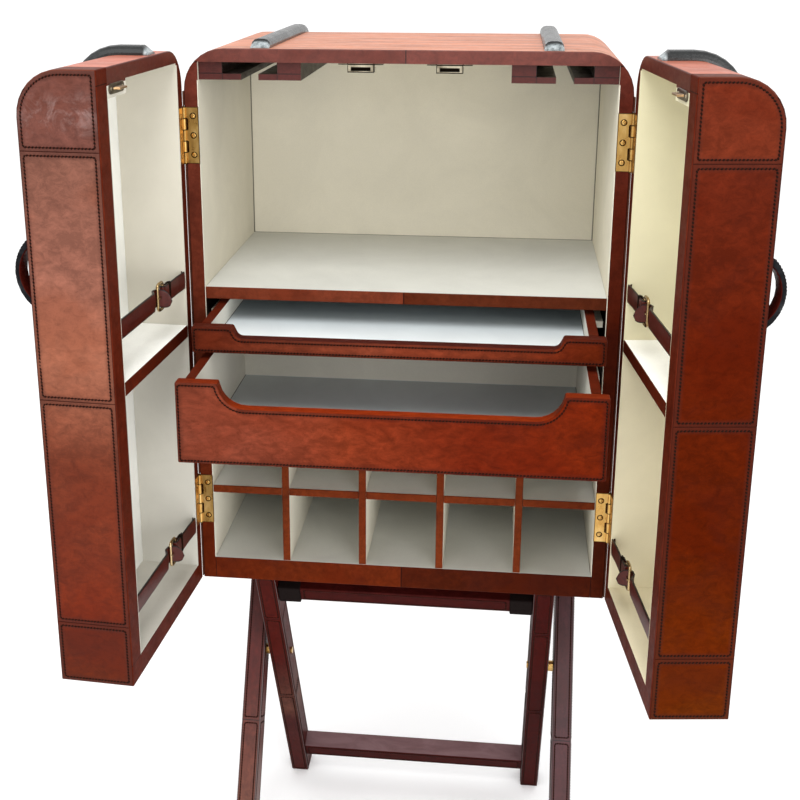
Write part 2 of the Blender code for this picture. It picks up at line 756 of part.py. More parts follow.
def add_drawer(name, frame, top, height, outline, leather):
    """A front board and a box of sides, back and bottom, grooved for its runners."""
    front = prism(outline, "y", 0, DRAWER_FRONT_THICKNESS)
    add_piece(f"{name}_front", softened(front, DRAWER_FRONT_ROUNDING), leather, frame)
    half = DRAWER_BOX_WIDTH / 2
    start = DRAWER_FRONT_THICKNESS + TOUCH_GAP
    low = top - height
    block = box((-half, start, low), (half, DRAWER_LENGTH, top))
    inner = half - DRAWER_SIDE_THICKNESS
    pocket = box(
        (-inner, start - CUT_OVERRUN, low + DRAWER_BOTTOM_THICKNESS),
        (inner, DRAWER_LENGTH - DRAWER_BACK_THICKNESS, top + CUT_OVERRUN),
    )
    middle = low + height / 2
    groove_half = RUNNER_GROOVE_HEIGHT / 2
    grooves = [
        mirrored(
            box(
                (half - RUNNER_GROOVE_DEPTH, start - CUT_OVERRUN, middle - groove_half),
                (half + CUT_OVERRUN, DRAWER_LENGTH + CUT_OVERRUN, middle + groove_half),
            ),
            side,
        )
        for side in (-1, 1)
    ]
    add_piece(f"{name}_box", combined(block, "DIFFERENCE", pocket, *grooves), leather, frame)


def add_drawers(trunk, leather):
    """Two drawers, each on an empty that slides along Y."""
    frames = []
    for name, opening in (
        ("upper_drawer", UPPER_DRAWER_OPENING),
        ("lower_drawer", LOWER_DRAWER_OPENING),
    ):
        frames.append(add_frame(f"{name}_slide", (0, DRAWER_SETBACK - opening, 0), (0, 0, 0), trunk))
    upper_outline = drawer_outline(
        UPPER_DRAWER_TOP,
        UPPER_DRAWER_HEIGHT,
        UPPER_SCOOP_DEPTH,
        UPPER_SCOOP_SLANT,
        UPPER_SCOOP_RADIUS,
    )
    lower_outline = drawer_outline(
        LOWER_DRAWER_TOP,
        LOWER_DRAWER_HEIGHT,
        LOWER_SCOOP_DEPTH,
        LOWER_SCOOP_SLANT,
        LOWER_SCOOP_RADIUS,
    )
    drawers = (
        ("upper_drawer", frames[0], UPPER_DRAWER_TOP, UPPER_DRAWER_HEIGHT, upper_outline),
        ("lower_drawer", frames[1], LOWER_DRAWER_TOP, LOWER_DRAWER_HEIGHT, lower_outline),
    )
    for drawer in drawers:
        add_drawer(*drawer, leather)


def door_shell():
    """A door's outer block in its own measures: x from the hinge edge, y in from its open side."""
    end_outline = rounded(
        [
            (0, 0, 0),
            (DOOR_WIDTH, 0, 0),
            (DOOR_WIDTH, TRUNK_HEIGHT, 0),
            (0, TRUNK_HEIGHT, DOOR_CORNER_RADIUS),
        ]
    )
    side_outline = rounded(
        [
            (0, -CUT_OVERRUN, 0),
            (DOOR_DEPTH, -CUT_OVERRUN, 0),
            (DOOR_DEPTH, TRUNK_HEIGHT, DOOR_FACE_EDGE_RADIUS),
            (0, TRUNK_HEIGHT, 0),
        ]
    )
    block = prism(end_outline, "y", -CUT_OVERRUN, DOOR_DEPTH + CUT_OVERRUN)
    trim = prism(side_outline, "x", -CUT_OVERRUN, DOOR_WIDTH + CUT_OVERRUN)
    return softened(combined(block, "INTERSECT", trim), EDGE_ROUNDING)


def door_case_pieces():
    """The boards of one door: (name, shape) pairs in the door's own measures."""
    shell = door_shell()
    before = -CUT_OVERRUN
    inner = DOOR_CAVITY_DEPTH - TOUCH_GAP
    above = TRUNK_HEIGHT + CUT_OVERRUN
    wide = DOOR_WIDTH + CUT_OVERRUN
    deep = DOOR_DEPTH + CUT_OVERRUN
    left = DOOR_HINGE_SIDE_THICKNESS + TOUCH_GAP
    right = DOOR_FREE_WALL - TOUCH_GAP
    hinge_side = combined(
        shell,
        "INTERSECT",
        box((before, before, before), (DOOR_HINGE_SIDE_THICKNESS, inner, above)),
    )
    for level in HINGE_LEVELS:
        recess = moved(leaf_recess(DOOR_LEAF_WIDTH), (-HINGE_OFFSET, -HINGE_SETBACK, level))
        hinge_side = combined(hinge_side, "DIFFERENCE", recess)
    free_side = combined(shell, "INTERSECT", box((DOOR_FREE_WALL, before, before), (wide, inner, above)))
    slots = strap_slots()
    cavity_outline = [
        (before, before),
        (DOOR_CAVITY_DEPTH, before),
        (DOOR_CAVITY_DEPTH, CASE_CEILING - DOOR_CORNER_BLOCK),
        (DOOR_CAVITY_DEPTH - DOOR_CORNER_BLOCK, CASE_CEILING),
        (before, CASE_CEILING),
    ]
    top = combined(
        combined(shell, "INTERSECT", box((left, before, before), (right, inner, above))),
        "DIFFERENCE",
        prism(cavity_outline, "x", before, wide),
    )
    block_top = CASE_CEILING + TOP_THICKNESS / 4
    strike_block = box(
        (right - STRIKE_BLOCK_WIDTH, 0, CASE_CEILING - STRIKE_BLOCK_HEIGHT),
        (right, STRIKE_BLOCK_DEPTH, block_top),
    )
    top = combined(top, "UNION", strike_block)
    shelf_base = DOOR_SHELF_LEVEL - DOOR_SHELF_THICKNESS
    return [
        ("hinge_side", combined(hinge_side, "DIFFERENCE", *slots)),
        ("free_side", combined(free_side, "DIFFERENCE", *slots)),
        (
            "face",
            combined(
                shell, "INTERSECT", box((before, DOOR_CAVITY_DEPTH, before), (wide, deep, above))
            ),
        ),
        ("top", top),
        ("bottom", board(left, right, inner, 0, DOOR_FLOOR_THICKNESS)),
        ("shelf", board(left, right, inner, shelf_base, DOOR_SHELF_LEVEL)),
    ]


def strap_slots():
    """The cuts in a door's two side boards that hold the ends of its straps."""
    low = DOOR_HINGE_SIDE_THICKNESS - STRAP_TUCK - TOUCH_GAP
    high = DOOR_FREE_WALL + STRAP_TUCK + TOUCH_GAP
    deep = STRAP_THICKNESS / 2 + TOUCH_GAP
    half = STRAP_WIDTH / 2 + TOUCH_GAP
    return [
        box((low, STRAP_INSET - deep, level - half), (high, STRAP_INSET + deep, level + half))
        for level in STRAP_LEVELS
    ]


def buckle_depth():
    """How far in the buckle lies, so that fold and tip lie over it inside the door's open side."""
    return TIP_INSET + 2 * STRAP_THICKNESS + 2 * TOUCH_GAP + BUCKLE_BAR_RADIUS


def buckled_strap():
    """A strap of two lengths, with its keeper and buckle, let into the door's boards at both ends.
    The hinge-side length folds round the buckle's heel bar. The free-side length passes under the
    front bar and over that fold to its round tip. The prong goes through both, and the keeper
    grips the folded length."""
    depth = buckle_depth()
    half = STRAP_WIDTH / 2
    fold_radius = BUCKLE_BAR_RADIUS + TOUCH_GAP + STRAP_THICKNESS / 2
    under = depth + fold_radius
    over = TIP_INSET + STRAP_THICKNESS / 2
    fold_end = under - STRAP_THICKNESS - TOUCH_GAP
    seat = TOUCH_GAP + STRAP_THICKNESS / 2
    ease = STRAP_EASE_RADIUS
    free_bends = [BUCKLE_PLACE + share * BUCKLE_REACH for share in FREE_LENGTH_SHARES]
    hinge_bends = [BUCKLE_PLACE + share * BUCKLE_REACH for share in HINGE_LENGTH_SHARES]
    free_path = rounded(
        [
            (DOOR_FREE_WALL + STRAP_TUCK, STRAP_INSET, 0),
            (free_bends[0], STRAP_INSET, ease),
            (free_bends[1], under + TOUCH_GAP, ease),
            (free_bends[2], under + TOUCH_GAP, ease),
            (free_bends[3], over, ease),
            (free_bends[4], over, 0),
        ],
        SMALL_ARC_STEPS,
        closed=False,
    )
    free_length = prism(band(free_path, STRAP_THICKNESS), "z", -half, half)
    tip_radius = half * TIP_ROUNDING_SHARE
    tip_outline = rounded(
        [
            (free_bends[4], -half, tip_radius),
            (DOOR_WIDTH, -half, 0),
            (DOOR_WIDTH, half, 0),
            (free_bends[4], half, tip_radius),
        ],
        SMALL_ARC_STEPS * 2,
    )
    tip_trim = prism(tip_outline, "y", -CUT_OVERRUN, DOOR_DEPTH)
    free_length = combined(free_length, "INTERSECT", tip_trim)
    hinge_path = rounded(
        [
            (DOOR_HINGE_SIDE_THICKNESS - STRAP_TUCK, STRAP_INSET, 0),
            (hinge_bends[0], STRAP_INSET, ease),
            (hinge_bends[1], under, ease),
            (BUCKLE_PLACE + fold_radius, under, fold_radius),
            (BUCKLE_PLACE + fold_radius, depth - fold_radius, fold_radius),
            (hinge_bends[2], depth - fold_radius, ease),
            (hinge_bends[3], fold_end, ease),
            (hinge_bends[4], fold_end, 0),
        ],
        SMALL_ARC_STEPS,
        closed=False,
    )
    hinge_length = prism(band(hinge_path, STRAP_THICKNESS), "z", -half, half)
    start = BUCKLE_PLACE + KEEPER_SHARE * BUCKLE_REACH
    rise = half - TOUCH_GAP
    front = fold_end - seat
    back = under + seat
    wall = KEEPER_THICKNESS
    keeper = combined(
        box((start, front - wall, -rise - wall), (start + KEEPER_WIDTH, back + wall, rise + wall)),
        "DIFFERENCE",
        box(
            (start - CUT_OVERRUN, front, -rise),
            (start + KEEPER_WIDTH + CUT_OVERRUN, back, rise),
        ),
    )
    return combined(hinge_length, "UNION", keeper, free_length, buckle())


def buckle():
    """A round-wire frame, with its prong from the heel bar over the front bar."""
    depth = buckle_depth()
    half = BUCKLE_HEIGHT / 2
    front = BUCKLE_PLACE + BUCKLE_REACH
    outline = rounded(
        [
            (BUCKLE_PLACE, -half, BUCKLE_CORNER_RADIUS),
            (front, -half, BUCKLE_CORNER_RADIUS),
            (front, half, BUCKLE_CORNER_RADIUS),
            (BUCKLE_PLACE, half, BUCKLE_CORNER_RADIUS),
        ],
        SMALL_ARC_STEPS,
    )
    ring = tube([(u, depth, v) for u, v in outline], BUCKLE_BAR_RADIUS, closed=True)
    rest = depth - BUCKLE_BAR_RADIUS - PRONG_RADIUS / 2
    end = front + BUCKLE_BAR_RADIUS / 2
    prong = tube([(BUCKLE_PLACE, depth, 0), (end, rest, 0)], PRONG_RADIUS)
    return combined(ring, "UNION", prong)


def handle():
    """A bowed leather handle, thicker at its feet, on the door's face."""
    face = DOOR_DEPTH + TOUCH_GAP
    half = HANDLE_LENGTH / 2
    inner_half = half - HANDLE_FOOT
    inner_rise = HANDLE_PROJECTION - HANDLE_THICKNESS

    def bow(half_chord, rise, steps):
        radius = (half_chord**2 + rise**2) / (2 * rise)
        reach = math.asin(half_chord / radius)
        angles = [reach * (2 * step / steps - 1) for step in range(steps + 1)]
        centre = face + rise - radius
        return [
            (centre + radius * math.cos(angle), HANDLE_LEVEL + radius * math.sin(angle))
            for angle in angles
        ]

    outer = bow(half, HANDLE_PROJECTION, ARC_STEPS)
    inner = bow(inner_half, inner_rise, ARC_STEPS)
    centre = DOOR_WIDTH - HANDLE_FROM_FREE_EDGE
    outline = outer + inner[::-1]
    return prism(outline, "x", centre - HANDLE_WIDTH / 2, centre + HANDLE_WIDTH / 2)


def strike():
    """The plate on the door's block, with the tongue that enters the catch."""
    level = CASE_CEILING - TONGUE_DROP
    centre = TRUNK_WIDTH / 2 - CATCH_OFFSET
    half_height = STRIKE_PLATE_HEIGHT / 2
    half_width = STRIKE_PLATE_WIDTH / 2
    corner = half_height * STRIKE_ROUNDING_SHARE
    plate_outline = rounded(
        [
            (centre - half_width, level - half_height, corner),
            (centre + half_width, level - half_height, corner),
            (centre + half_width, level + half_height, corner),
            (centre - half_width, level + half_height, corner),
        ],
        SMALL_ARC_STEPS,
    )
    plate_back = -TOUCH_GAP
    plate_front = plate_back - STRIKE_PLATE_THICKNESS
    plate = prism(plate_outline, "y", plate_front, plate_back)
    tongue = box(
        (centre - TONGUE_WIDTH / 2, plate_front - TONGUE_LENGTH, level - TONGUE_THICKNESS / 2),
        (
            centre + TONGUE_WIDTH / 2,
            plate_front + STRIKE_PLATE_THICKNESS / 2,
            level + TONGUE_THICKNESS / 2,
        ),
    )
    return combined(plate, "UNION", tongue)


def add_doors(trunk, leather, dark_leather, blackened, metal):
    """Both doors on empties that stand on their hinge pins."""
    boards = door_case_pieces()
    strap = buckled_strap()
    flat_end = DOOR_DEPTH - DOOR_FACE_EDGE_RADIUS
    edge_centre = TRUNK_HEIGHT - DOOR_FACE_EDGE_RADIUS
    bar = slat(SLAT_SETBACK, flat_end, edge_centre, DOOR_FACE_EDGE_RADIUS)
    bar = moved(bar, (SLAT_INSET, 0, 0))
    parts = [(name, shape, leather) for name, shape in boards]
    parts += [
        ("upper_strap", moved(strap, (0, 0, STRAP_LEVELS[0])), dark_leather),
        ("lower_strap", moved(strap, (0, 0, STRAP_LEVELS[1])), dark_leather),
        ("handle", handle(), blackened),
        ("slat", bar, blackened),
        ("strike", strike(), metal),
    ]
    doors = []
    for label, side, angle in (("left", -1, LEFT_DOOR_OPEN), ("right", 1, RIGHT_DOOR_OPEN)):
        pin = (side * (TRUNK_WIDTH / 2 + HINGE_OFFSET), -HINGE_SETBACK, 0)
        door = add_frame(f"{label}_door_hinge_line", pin, (0, 0, side * angle), trunk)
        for name, shape, material in parts:
            placed = on_door(moved(shape, (HINGE_OFFSET, HINGE_SETBACK, 0)), side)
            add_piece(f"{label}_door_{name}", placed, material, door)
        doors.append(door)
    return doors


def add_stand_frame(name, tilt, leg_face, stand, leather):
    """One of the stand's two frames, on an empty at the pivot whose Z axis runs up its legs."""
    frame = add_frame(f"{name}_pivot", (0, PIVOT_SETBACK, -PIVOT_DROP), (tilt, 0, 0), stand)

    def along(across, level):
        """How far up the leg its face at that place across it meets a level."""
        return (level + PIVOT_DROP - across * math.sin(tilt)) / math.cos(tilt)

    half = LEG_DEPTH / 2
    leg_outline = rounded(
        [
            (-half, along(-half, -STAND_HEIGHT), FOOT_ROUNDING),
            (half, along(half, -STAND_HEIGHT), FOOT_ROUNDING),
            (half, along(half, -TOUCH_GAP), 0),
            (-half, along(-half, -TOUCH_GAP), 0),
        ],
        SMALL_ARC_STEPS,
    )
    leg = prism(leg_outline, "x", leg_face, leg_face + LEG_WIDTH)
    leg = softened(leg, STAND_EDGE_ROUNDING)
    if leg_face > INNER_LEG_FACE:
        hole_end = leg_face + BOLT_SOCKET + TOUCH_GAP
    else:
        hole_end = leg_face + LEG_WIDTH + CUT_OVERRUN
    hole = rod(BOLT_RADIUS + TOUCH_GAP, leg_face - CUT_OVERRUN, hole_end, "x")
    leg = combined(leg, "DIFFERENCE", hole)
    add_piece(f"{name}_left_leg", mirrored(leg, -1), leather, frame)
    add_piece(f"{name}_right_leg", mirrored(leg, 1), leather, frame)
    reach = leg_face - TOUCH_GAP
    section = RAIL_SECTION / 2
    jacket = section + SLEEVE_THICKNESS
    sleeve = box(
        (reach - SLEEVE_LENGTH, -jacket, TOP_RAIL_RISE - jacket),
        (reach, jacket, TOP_RAIL_RISE + jacket),
    )
    sleeve = softened(sleeve, STAND_EDGE_ROUNDING)
    top_rail = rail(TOP_RAIL_RISE, section, section, reach)
    top_rail = combined(top_rail, "UNION", mirrored(sleeve, -1), mirrored(sleeve, 1))
    add_piece(f"{name}_top_rail", top_rail, leather, frame)
    lower_rail = rail(-LOWER_RAIL_DROP, LOWER_RAIL_DEPTH / 2, section, reach)
    add_piece(f"{name}_lower_rail", lower_rail, leather, frame)
    return frame


def rail(rise, half_depth, half_height, reach):
    """A cross rail with softened long edges."""
    outline = rounded(
        [
            (-half_depth, rise - half_height, STAND_EDGE_ROUNDING),
            (half_depth, rise - half_height, STAND_EDGE_ROUNDING),
            (half_depth, rise + half_height, STAND_EDGE_ROUNDING),
            (-half_depth, rise + half_height, STAND_EDGE_ROUNDING),
        ],
        SMALL_ARC_STEPS,
    )
    return prism(outline, "x", -reach, reach)


def add_pivot_bolts(frame, brass):
    """A bolt a side: its head lies on the inner leg and its spacer keeps the two legs apart."""
    inner_face = INNER_LEG_FACE - TOUCH_GAP
    spacer_start = INNER_LEG_FACE + LEG_WIDTH + TOUCH_GAP
    spacer_end = OUTER_LEG_FACE - TOUCH_GAP
    end = OUTER_LEG_FACE + BOLT_SOCKET
    profile = [
        (0, inner_face - BOLT_HEAD_HEIGHT),
        (BOLT_HEAD_RADIUS, inner_face - BOLT_HEAD_HEIGHT),
        (BOLT_HEAD_RADIUS, inner_face),
        (BOLT_RADIUS, inner_face),
        (BOLT_RADIUS, spacer_start),
        (SPACER_RADIUS, spacer_start),
        (SPACER_RADIUS, spacer_end),
        (BOLT_RADIUS, spacer_end),
        (BOLT_RADIUS, end),
        (0, end),
    ]
    bolt = turned(profile, "x")
    add_piece("left_pivot_bolt", mirrored(bolt, -1), brass, frame)
    add_piece("right_pivot_bolt", mirrored(bolt, 1), brass, frame)


def add_stand(cabinet, leather, brass):
    """The X stand: an inner and an outer frame that cross at the pivot bolts."""
    stand = add_frame("stand", (0, 0, 0), (0, 0, 0), cabinet)
    add_stand_frame("stand_inner", LEG_TILT, INNER_LEG_FACE, stand, leather)
    outer = add_stand_frame("stand_outer", -LEG_TILT, OUTER_LEG_FACE, stand, leather)
    add_pivot_bolts(outer, brass)


def centre_on_footprint(cabinet):
    """Moves the cabinet so that the bottom middle of its box is the origin."""
    bpy.context.view_layer.update()
    corners = [
        piece.matrix_world @ vertex.co
        for piece in bpy.data.objects
        if piece.type == "MESH"
        for vertex in piece.data.vertices
    ]
    low = Vector([min(corner[axis] for corner in corners) for axis in range(3)])
    high = Vector([max(corner[axis] for corner in corners) for axis in range(3)])
    cabinet.location = Vector((-(low.x + high.x) / 2, -(low.y + high.y) / 2, -low.z))
    bpy.context.view_layer.update()


def report_frames():
    """Prints where each carrying empty stands, for whoever sets the joints."""
    for frame in bpy.data.objects:
        if frame.type == "EMPTY":
            place = frame.matrix_world.translation
            print(f"{frame.name}: x {place.x:.5f}, y {place.y:.5f}, z {place.z:.5f}")


def main():
    clear_scene()
    leather = finish("brown_leather", (0.19, 0.045, 0.02), 0.42)
    stand_leather = finish("stand_leather", (0.09, 0.02, 0.014), 0.4)
    dark_leather = finish("strap_leather", (0.06, 0.014, 0.01), 0.45)
    blackened = finish("black_slat", (0.01, 0.01, 0.011), 0.3)
    brass = finish("brass", (0.58, 0.34, 0.09), 0.3, 1)
    metal = finish("catch_metal", (0.25, 0.23, 0.2), 0.35, 1)
    cabinet = add_frame("cabinet", (0, 0, 0), (0, 0, 0), None)
    trunk = add_frame("trunk", (0, 0, 0), (0, 0, 0), cabinet)
    add_case(trunk, leather)
    add_rack(trunk, leather)
    add_catches(trunk, metal)
    add_top_slats(trunk, blackened)
    add_drawers(trunk, leather)
    doors = add_doors(trunk, leather, dark_leather, blackened, metal)
    add_hinges(trunk, doors, brass)
    add_stand(cabinet, stand_leather, brass)
    centre_on_footprint(cabinet)
    report_frames()


main()
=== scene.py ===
import json
import math
from functools import partial, reduce

import bpy
from mathutils import Matrix, Vector, noise


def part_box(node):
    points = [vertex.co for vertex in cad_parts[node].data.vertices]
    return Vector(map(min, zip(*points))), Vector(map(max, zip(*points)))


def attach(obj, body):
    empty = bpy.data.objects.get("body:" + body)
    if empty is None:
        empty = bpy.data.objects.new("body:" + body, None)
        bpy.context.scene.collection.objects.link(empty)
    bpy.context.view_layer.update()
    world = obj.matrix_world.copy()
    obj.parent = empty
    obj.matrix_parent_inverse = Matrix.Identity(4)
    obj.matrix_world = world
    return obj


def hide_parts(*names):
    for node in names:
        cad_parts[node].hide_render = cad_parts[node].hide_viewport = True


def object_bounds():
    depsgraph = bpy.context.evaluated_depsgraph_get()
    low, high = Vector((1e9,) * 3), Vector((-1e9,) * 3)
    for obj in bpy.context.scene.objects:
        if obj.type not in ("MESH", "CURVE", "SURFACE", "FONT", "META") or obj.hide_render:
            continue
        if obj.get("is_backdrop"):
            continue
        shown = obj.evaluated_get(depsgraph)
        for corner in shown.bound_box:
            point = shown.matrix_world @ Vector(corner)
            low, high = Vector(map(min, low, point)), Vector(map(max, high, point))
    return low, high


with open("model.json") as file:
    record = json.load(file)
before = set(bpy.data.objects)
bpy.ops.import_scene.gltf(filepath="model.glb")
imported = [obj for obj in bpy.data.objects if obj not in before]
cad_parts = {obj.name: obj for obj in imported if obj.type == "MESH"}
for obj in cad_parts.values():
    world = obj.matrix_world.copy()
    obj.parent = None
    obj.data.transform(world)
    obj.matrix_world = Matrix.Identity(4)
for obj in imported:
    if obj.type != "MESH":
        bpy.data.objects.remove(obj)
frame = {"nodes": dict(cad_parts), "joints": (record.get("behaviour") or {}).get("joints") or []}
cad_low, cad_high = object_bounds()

# The studio: a pale floor far wider than the view, a white sky and three soft boxes, one overhead,
# one far to the front left and one to the right of the camera, which stands a little above the
# cabinet's top and right of its middle.
bpy.context.scene.view_settings.view_transform = "Standard"
bpy.ops.object.select_all(action="DESELECT")
bpy.ops.mesh.primitive_plane_add(size=160, location=(0, 0, 0))
floor = bpy.context.object
floor.name = "studio_floor"
floor_paint = bpy.data.materials.new("studio_floor_paint")
floor_paint.use_nodes = True
floor_shader = floor_paint.node_tree.nodes["Principled BSDF"]
floor_shader.inputs["Base Color"].default_value = (0.96, 0.96, 0.96, 1)
floor_shader.inputs["Roughness"].default_value = 0.9
floor_shader.inputs["Specular IOR Level"].default_value = 0.1
floor_shader.inputs["Emission Color"].default_value = (1, 1, 1, 1)
floor_shader.inputs["Emission Strength"].default_value = 0.12
floor.data.materials.append(floor_paint)
floor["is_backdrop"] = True

sky = bpy.data.worlds.new("studio_sky")
sky.use_nodes = True
sky.node_tree.nodes["Background"].inputs["Color"].default_value = (1, 1, 1, 1)
sky.node_tree.nodes["Background"].inputs["Strength"].default_value = 1.05
bpy.context.scene.world = sky

for label, place, aim, size, power in (
    ("overhead_box", (-0.2, -1.5, 3.2), (0, 0.0, 1.0), 1.4, 50),
    ("front_box", (-1.9, -3.2, 2.4), (0, 0, 0.9), 1.8, 16),
    ("right_box", (1.7, -3.0, 1.5), (-0.1, 0, 0.8), 1.8, 44),
):
    lamp = bpy.data.lights.new(label, "AREA")
    lamp.shape = "SQUARE"
    lamp.size = size
    lamp.energy = power
    holder = bpy.data.objects.new(label, lamp)
    bpy.context.scene.collection.objects.link(holder)
    holder.location = place
    heading = Vector(aim) - Vector(place)
    holder.rotation_euler = heading.to_track_quat("-Z", "Y").to_euler()

camera_data = bpy.data.cameras.new("camera")
camera_data.sensor_width = 36
camera_data.lens = 56.63
camera_data.shift_x = 0.0422
camera_data.shift_y = -0.0899
camera_data.clip_end = 200
camera = bpy.data.objects.new("camera", camera_data)
bpy.context.scene.collection.objects.link(camera)
camera.location = (0.1344, -1.7535, 1.5413)
camera.rotation_euler = (math.radians(72.8), 0, math.radians(6.47))
bpy.context.scene.camera = camera

# The trunk's case: boards covered outside and on their front edges with waxed brown hide, and
# lined inside with cream cloth. Two strips of hide meet at the middle of each long front edge.
case_low, case_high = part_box("bottom_panel")
_, side_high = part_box("right_side_panel")
MIDDLE_X = (case_low.x + case_high.x) / 2
TRUNK = Vector((MIDDLE_X, case_low.y, case_low.z))
TRUNK_HALF = side_high.x - MIDDLE_X
TRUNK_TOP = side_high.z - TRUNK.z
TRUNK_DEPTH = side_high.y - TRUNK.y
LINING_HALF = case_high.x - MIDDLE_X
LINING_BACK = case_high.y - TRUNK.y
CEILING = 0.7846
CASE_FLOOR = case_high.z - TRUNK.z
RAIL_BASE = 0.7600
RACK_TOP = 0.2763
SHELF_BASE = 0.4490
STRIP_DEPTH = 0.0012
STRIP_PROUD = 0.0008
STRIP_JOINT = (0.0012, 0.0007)
EDGE_STRIP_HALF = 0.0088
EDGE_STRIP_SPAN = (0.36, 0.385)
RAIL_MIDDLE = (0.21375, 0.177, 0.7721)
RAIL_HALF = (0.0716, 0.170, 0.0124)
RAIL_FRONT = 0.0088
RAIL_GROOVES = (0.1757, 0.2517)
RAIL_LEDGE = RAIL_BASE + 0.0087
GROOVE_HALF = 0.0006
BACK_CORNER = 0.357
SIDE_CORNER = 0.285
SHELF_CORNER = 0.4667
HIDE = (98, 36, 20)
TOP_SHEEN_HIDE = (188, 120, 90)
LEFT_STRIP = ((0.0, (92, 32, 8)), (0.5, (98, 42, 26)), (0.93, (96, 44, 32)), (0.985, (92, 44, 36)))
RIGHT_STRIP = ((0.0, (68, 22, 6)), (0.5, (78, 25, 9)), (0.93, (84, 34, 24)), (0.985, (98, 48, 40)))
RAIL_HIDE = (74, 30, 26)
DARK_HIDE = (26, 11, 9)
WALL_CLOTH = (237, 231, 213)
FLOOR_CLOTH = (208, 208, 201)
CELL_CLOTH = (224, 219, 203)
CELL_FLOOR_CLOTH = (212, 212, 205)
CORNER_SHADE = (134, 130, 118)
DEEPER = (0.62, 0.50, 0.42)
SPECULAR = 0.02
TOP_SHINE = 0.25


def tone(colour):
    """A colour given in steps of 0 to 255, in the linear values that shaders take."""
    shares = [step / 255 for step in colour]
    return tuple(s / 12.92 if s <= 0.04045 else ((s + 0.055) / 1.055) ** 2.4 for s in shares) + (1,)


class Finish:
    """A material under way. Its patterns are measured from a corner of the piece that it covers."""

    def __init__(self, name, origin=(0, 0, 0), turn=(0, 0, 0), mirror=(1, 1, 1)):
        self.material = bpy.data.materials.new(name)
        self.material.use_nodes = True
        self.tree = self.material.node_tree
        self.shader = self.tree.nodes["Principled BSDF"]
        self.shader.inputs["Specular IOR Level"].default_value = SPECULAR
        place = self.add("ShaderNodeTexCoord").outputs["Object"]
        inputs = {"Vector": place, "Location": origin, "Rotation": turn, "Scale": mirror}
        self.spot = self.add("ShaderNodeMapping", inputs, vector_type="TEXTURE").outputs[0]
        self.axes = self.add("ShaderNodeSeparateXYZ", {0: self.spot}).outputs
        self.x, self.y, self.z = self.axes

    def feed(self, socket, value):
        """A socket is linked to another one, or gets a plain value."""
        if isinstance(value, bpy.types.NodeSocket):
            self.tree.links.new(value, socket)
        else:
            socket.default_value = value

    def add(self, kind, inputs=None, **settings):
        node = self.tree.nodes.new(kind)
        for key, value in settings.items():
            setattr(node, key, value)
        for key, value in (inputs or {}).items():
            self.feed(node.inputs[key], value)
        return node

    def maths(self, operation, *values):
        return self.add("ShaderNodeMath", dict(enumerate(values)), operation=operation).outputs[0]

    def over(self, level, limit):
        return self.maths("GREATER_THAN", level, limit)

    def under(self, level, limit):
        return self.maths("LESS_THAN", level, limit)

    def near(self, level, place, reach):
        """1 where the level is within reach of a place."""
        return self.maths("COMPARE", level, place, reach)

    def away(self, level, place):
        """How far the level is from a place, either way."""
        return self.maths("ABSOLUTE", self.maths("SUBTRACT", level, place))

    def distance(self, *offsets):
        """How far a spot is from a centre, by its offsets along two axes."""
        squares = [self.maths("POWER", offset, 2) for offset in offsets]
        return self.maths("POWER", self.maths("ADD", *squares), 0.5)

    def any_of(self, *masks):
        return reduce(partial(self.maths, "MAXIMUM"), masks)

    def all_of(self, *masks):
        return reduce(partial(self.maths, "MULTIPLY"), masks)

    def within(self, low, high):
        """1 inside a box, 0 outside it."""
        spans = zip(self.axes, low, high)
        return self.all_of(*[self.near(axis, (a + b) / 2, (b - a) / 2) for axis, a, b in spans])

    def without(self, mask):
        return self.maths("SUBTRACT", 1, mask)

    def clouds(self, scale, detail=5, roughness=0.6, distortion=0.3, stretch=(1, 1, 1)):
        spot = self.add("ShaderNodeVectorMath", {0: self.spot, 1: stretch}, operation="MULTIPLY")
        inputs = {
            "Vector": spot.outputs[0],
            "Scale": scale,
            "Detail": detail,
            "Roughness": roughness,
            "Distortion": distortion,
        }
        return self.add("ShaderNodeTexNoise", inputs).outputs["Fac"]

    def cells(self, scale):
        return self.add("ShaderNodeTexVoronoi", {"Vector": self.spot, "Scale": scale}).outputs[0]

    def ramp(self, level, stops):
        node = self.add("ShaderNodeValToRGB", {0: level})
        spans = node.color_ramp.elements
        while len(spans) < len(stops):
            spans.new(0.5)
        for span, (place, colour) in zip(spans, stops):
            span.position = place
            span.color = tone(colour)
        return node.outputs[0]

    def span(self, level, low, high, to_low=0.0, to_high=1.0):
        inputs = {0: level, 1: low, 2: high, 3: to_low, 4: to_high}
        return self.add("ShaderNodeMapRange", inputs).outputs[0]

    def mix(self, share, first, second):
        """Between two colours, each a socket or a tone."""
        tones = [tone(value) if isinstance(value, tuple) else value for value in (first, second)]
        inputs = {0: share, 6: tones[0], 7: tones[1]}
        return self.add("ShaderNodeMix", inputs, data_type="RGBA").outputs[2]

    def scaled(self, colour, factor):
        """A colour made darker or lighter."""
        if isinstance(colour, tuple):
            colour = tone(colour)[:3]
        inputs = {0: colour, "Scale": factor}
        return self.add("ShaderNodeVectorMath", inputs, operation="SCALE").outputs[0]

    def blend(self, share, first, second):
        """Between two numbers."""
        inputs = {0: share, 2: first, 3: second}
        return self.add("ShaderNodeMix", inputs, data_type="FLOAT").outputs[0]

    def wire(self, colour, roughness, height=None, depth=0.0005):
        self.feed(self.shader.inputs["Base Color"], colour)
        self.feed(self.shader.inputs["Roughness"], roughness)
        if height is not None:
            inputs = {"Height": height, "Strength": 0.5, "Distance": depth}
            bump = self.add("ShaderNodeBump", inputs)
            self.feed(self.shader.inputs["Normal"], bump.outputs[0])
        return self.material


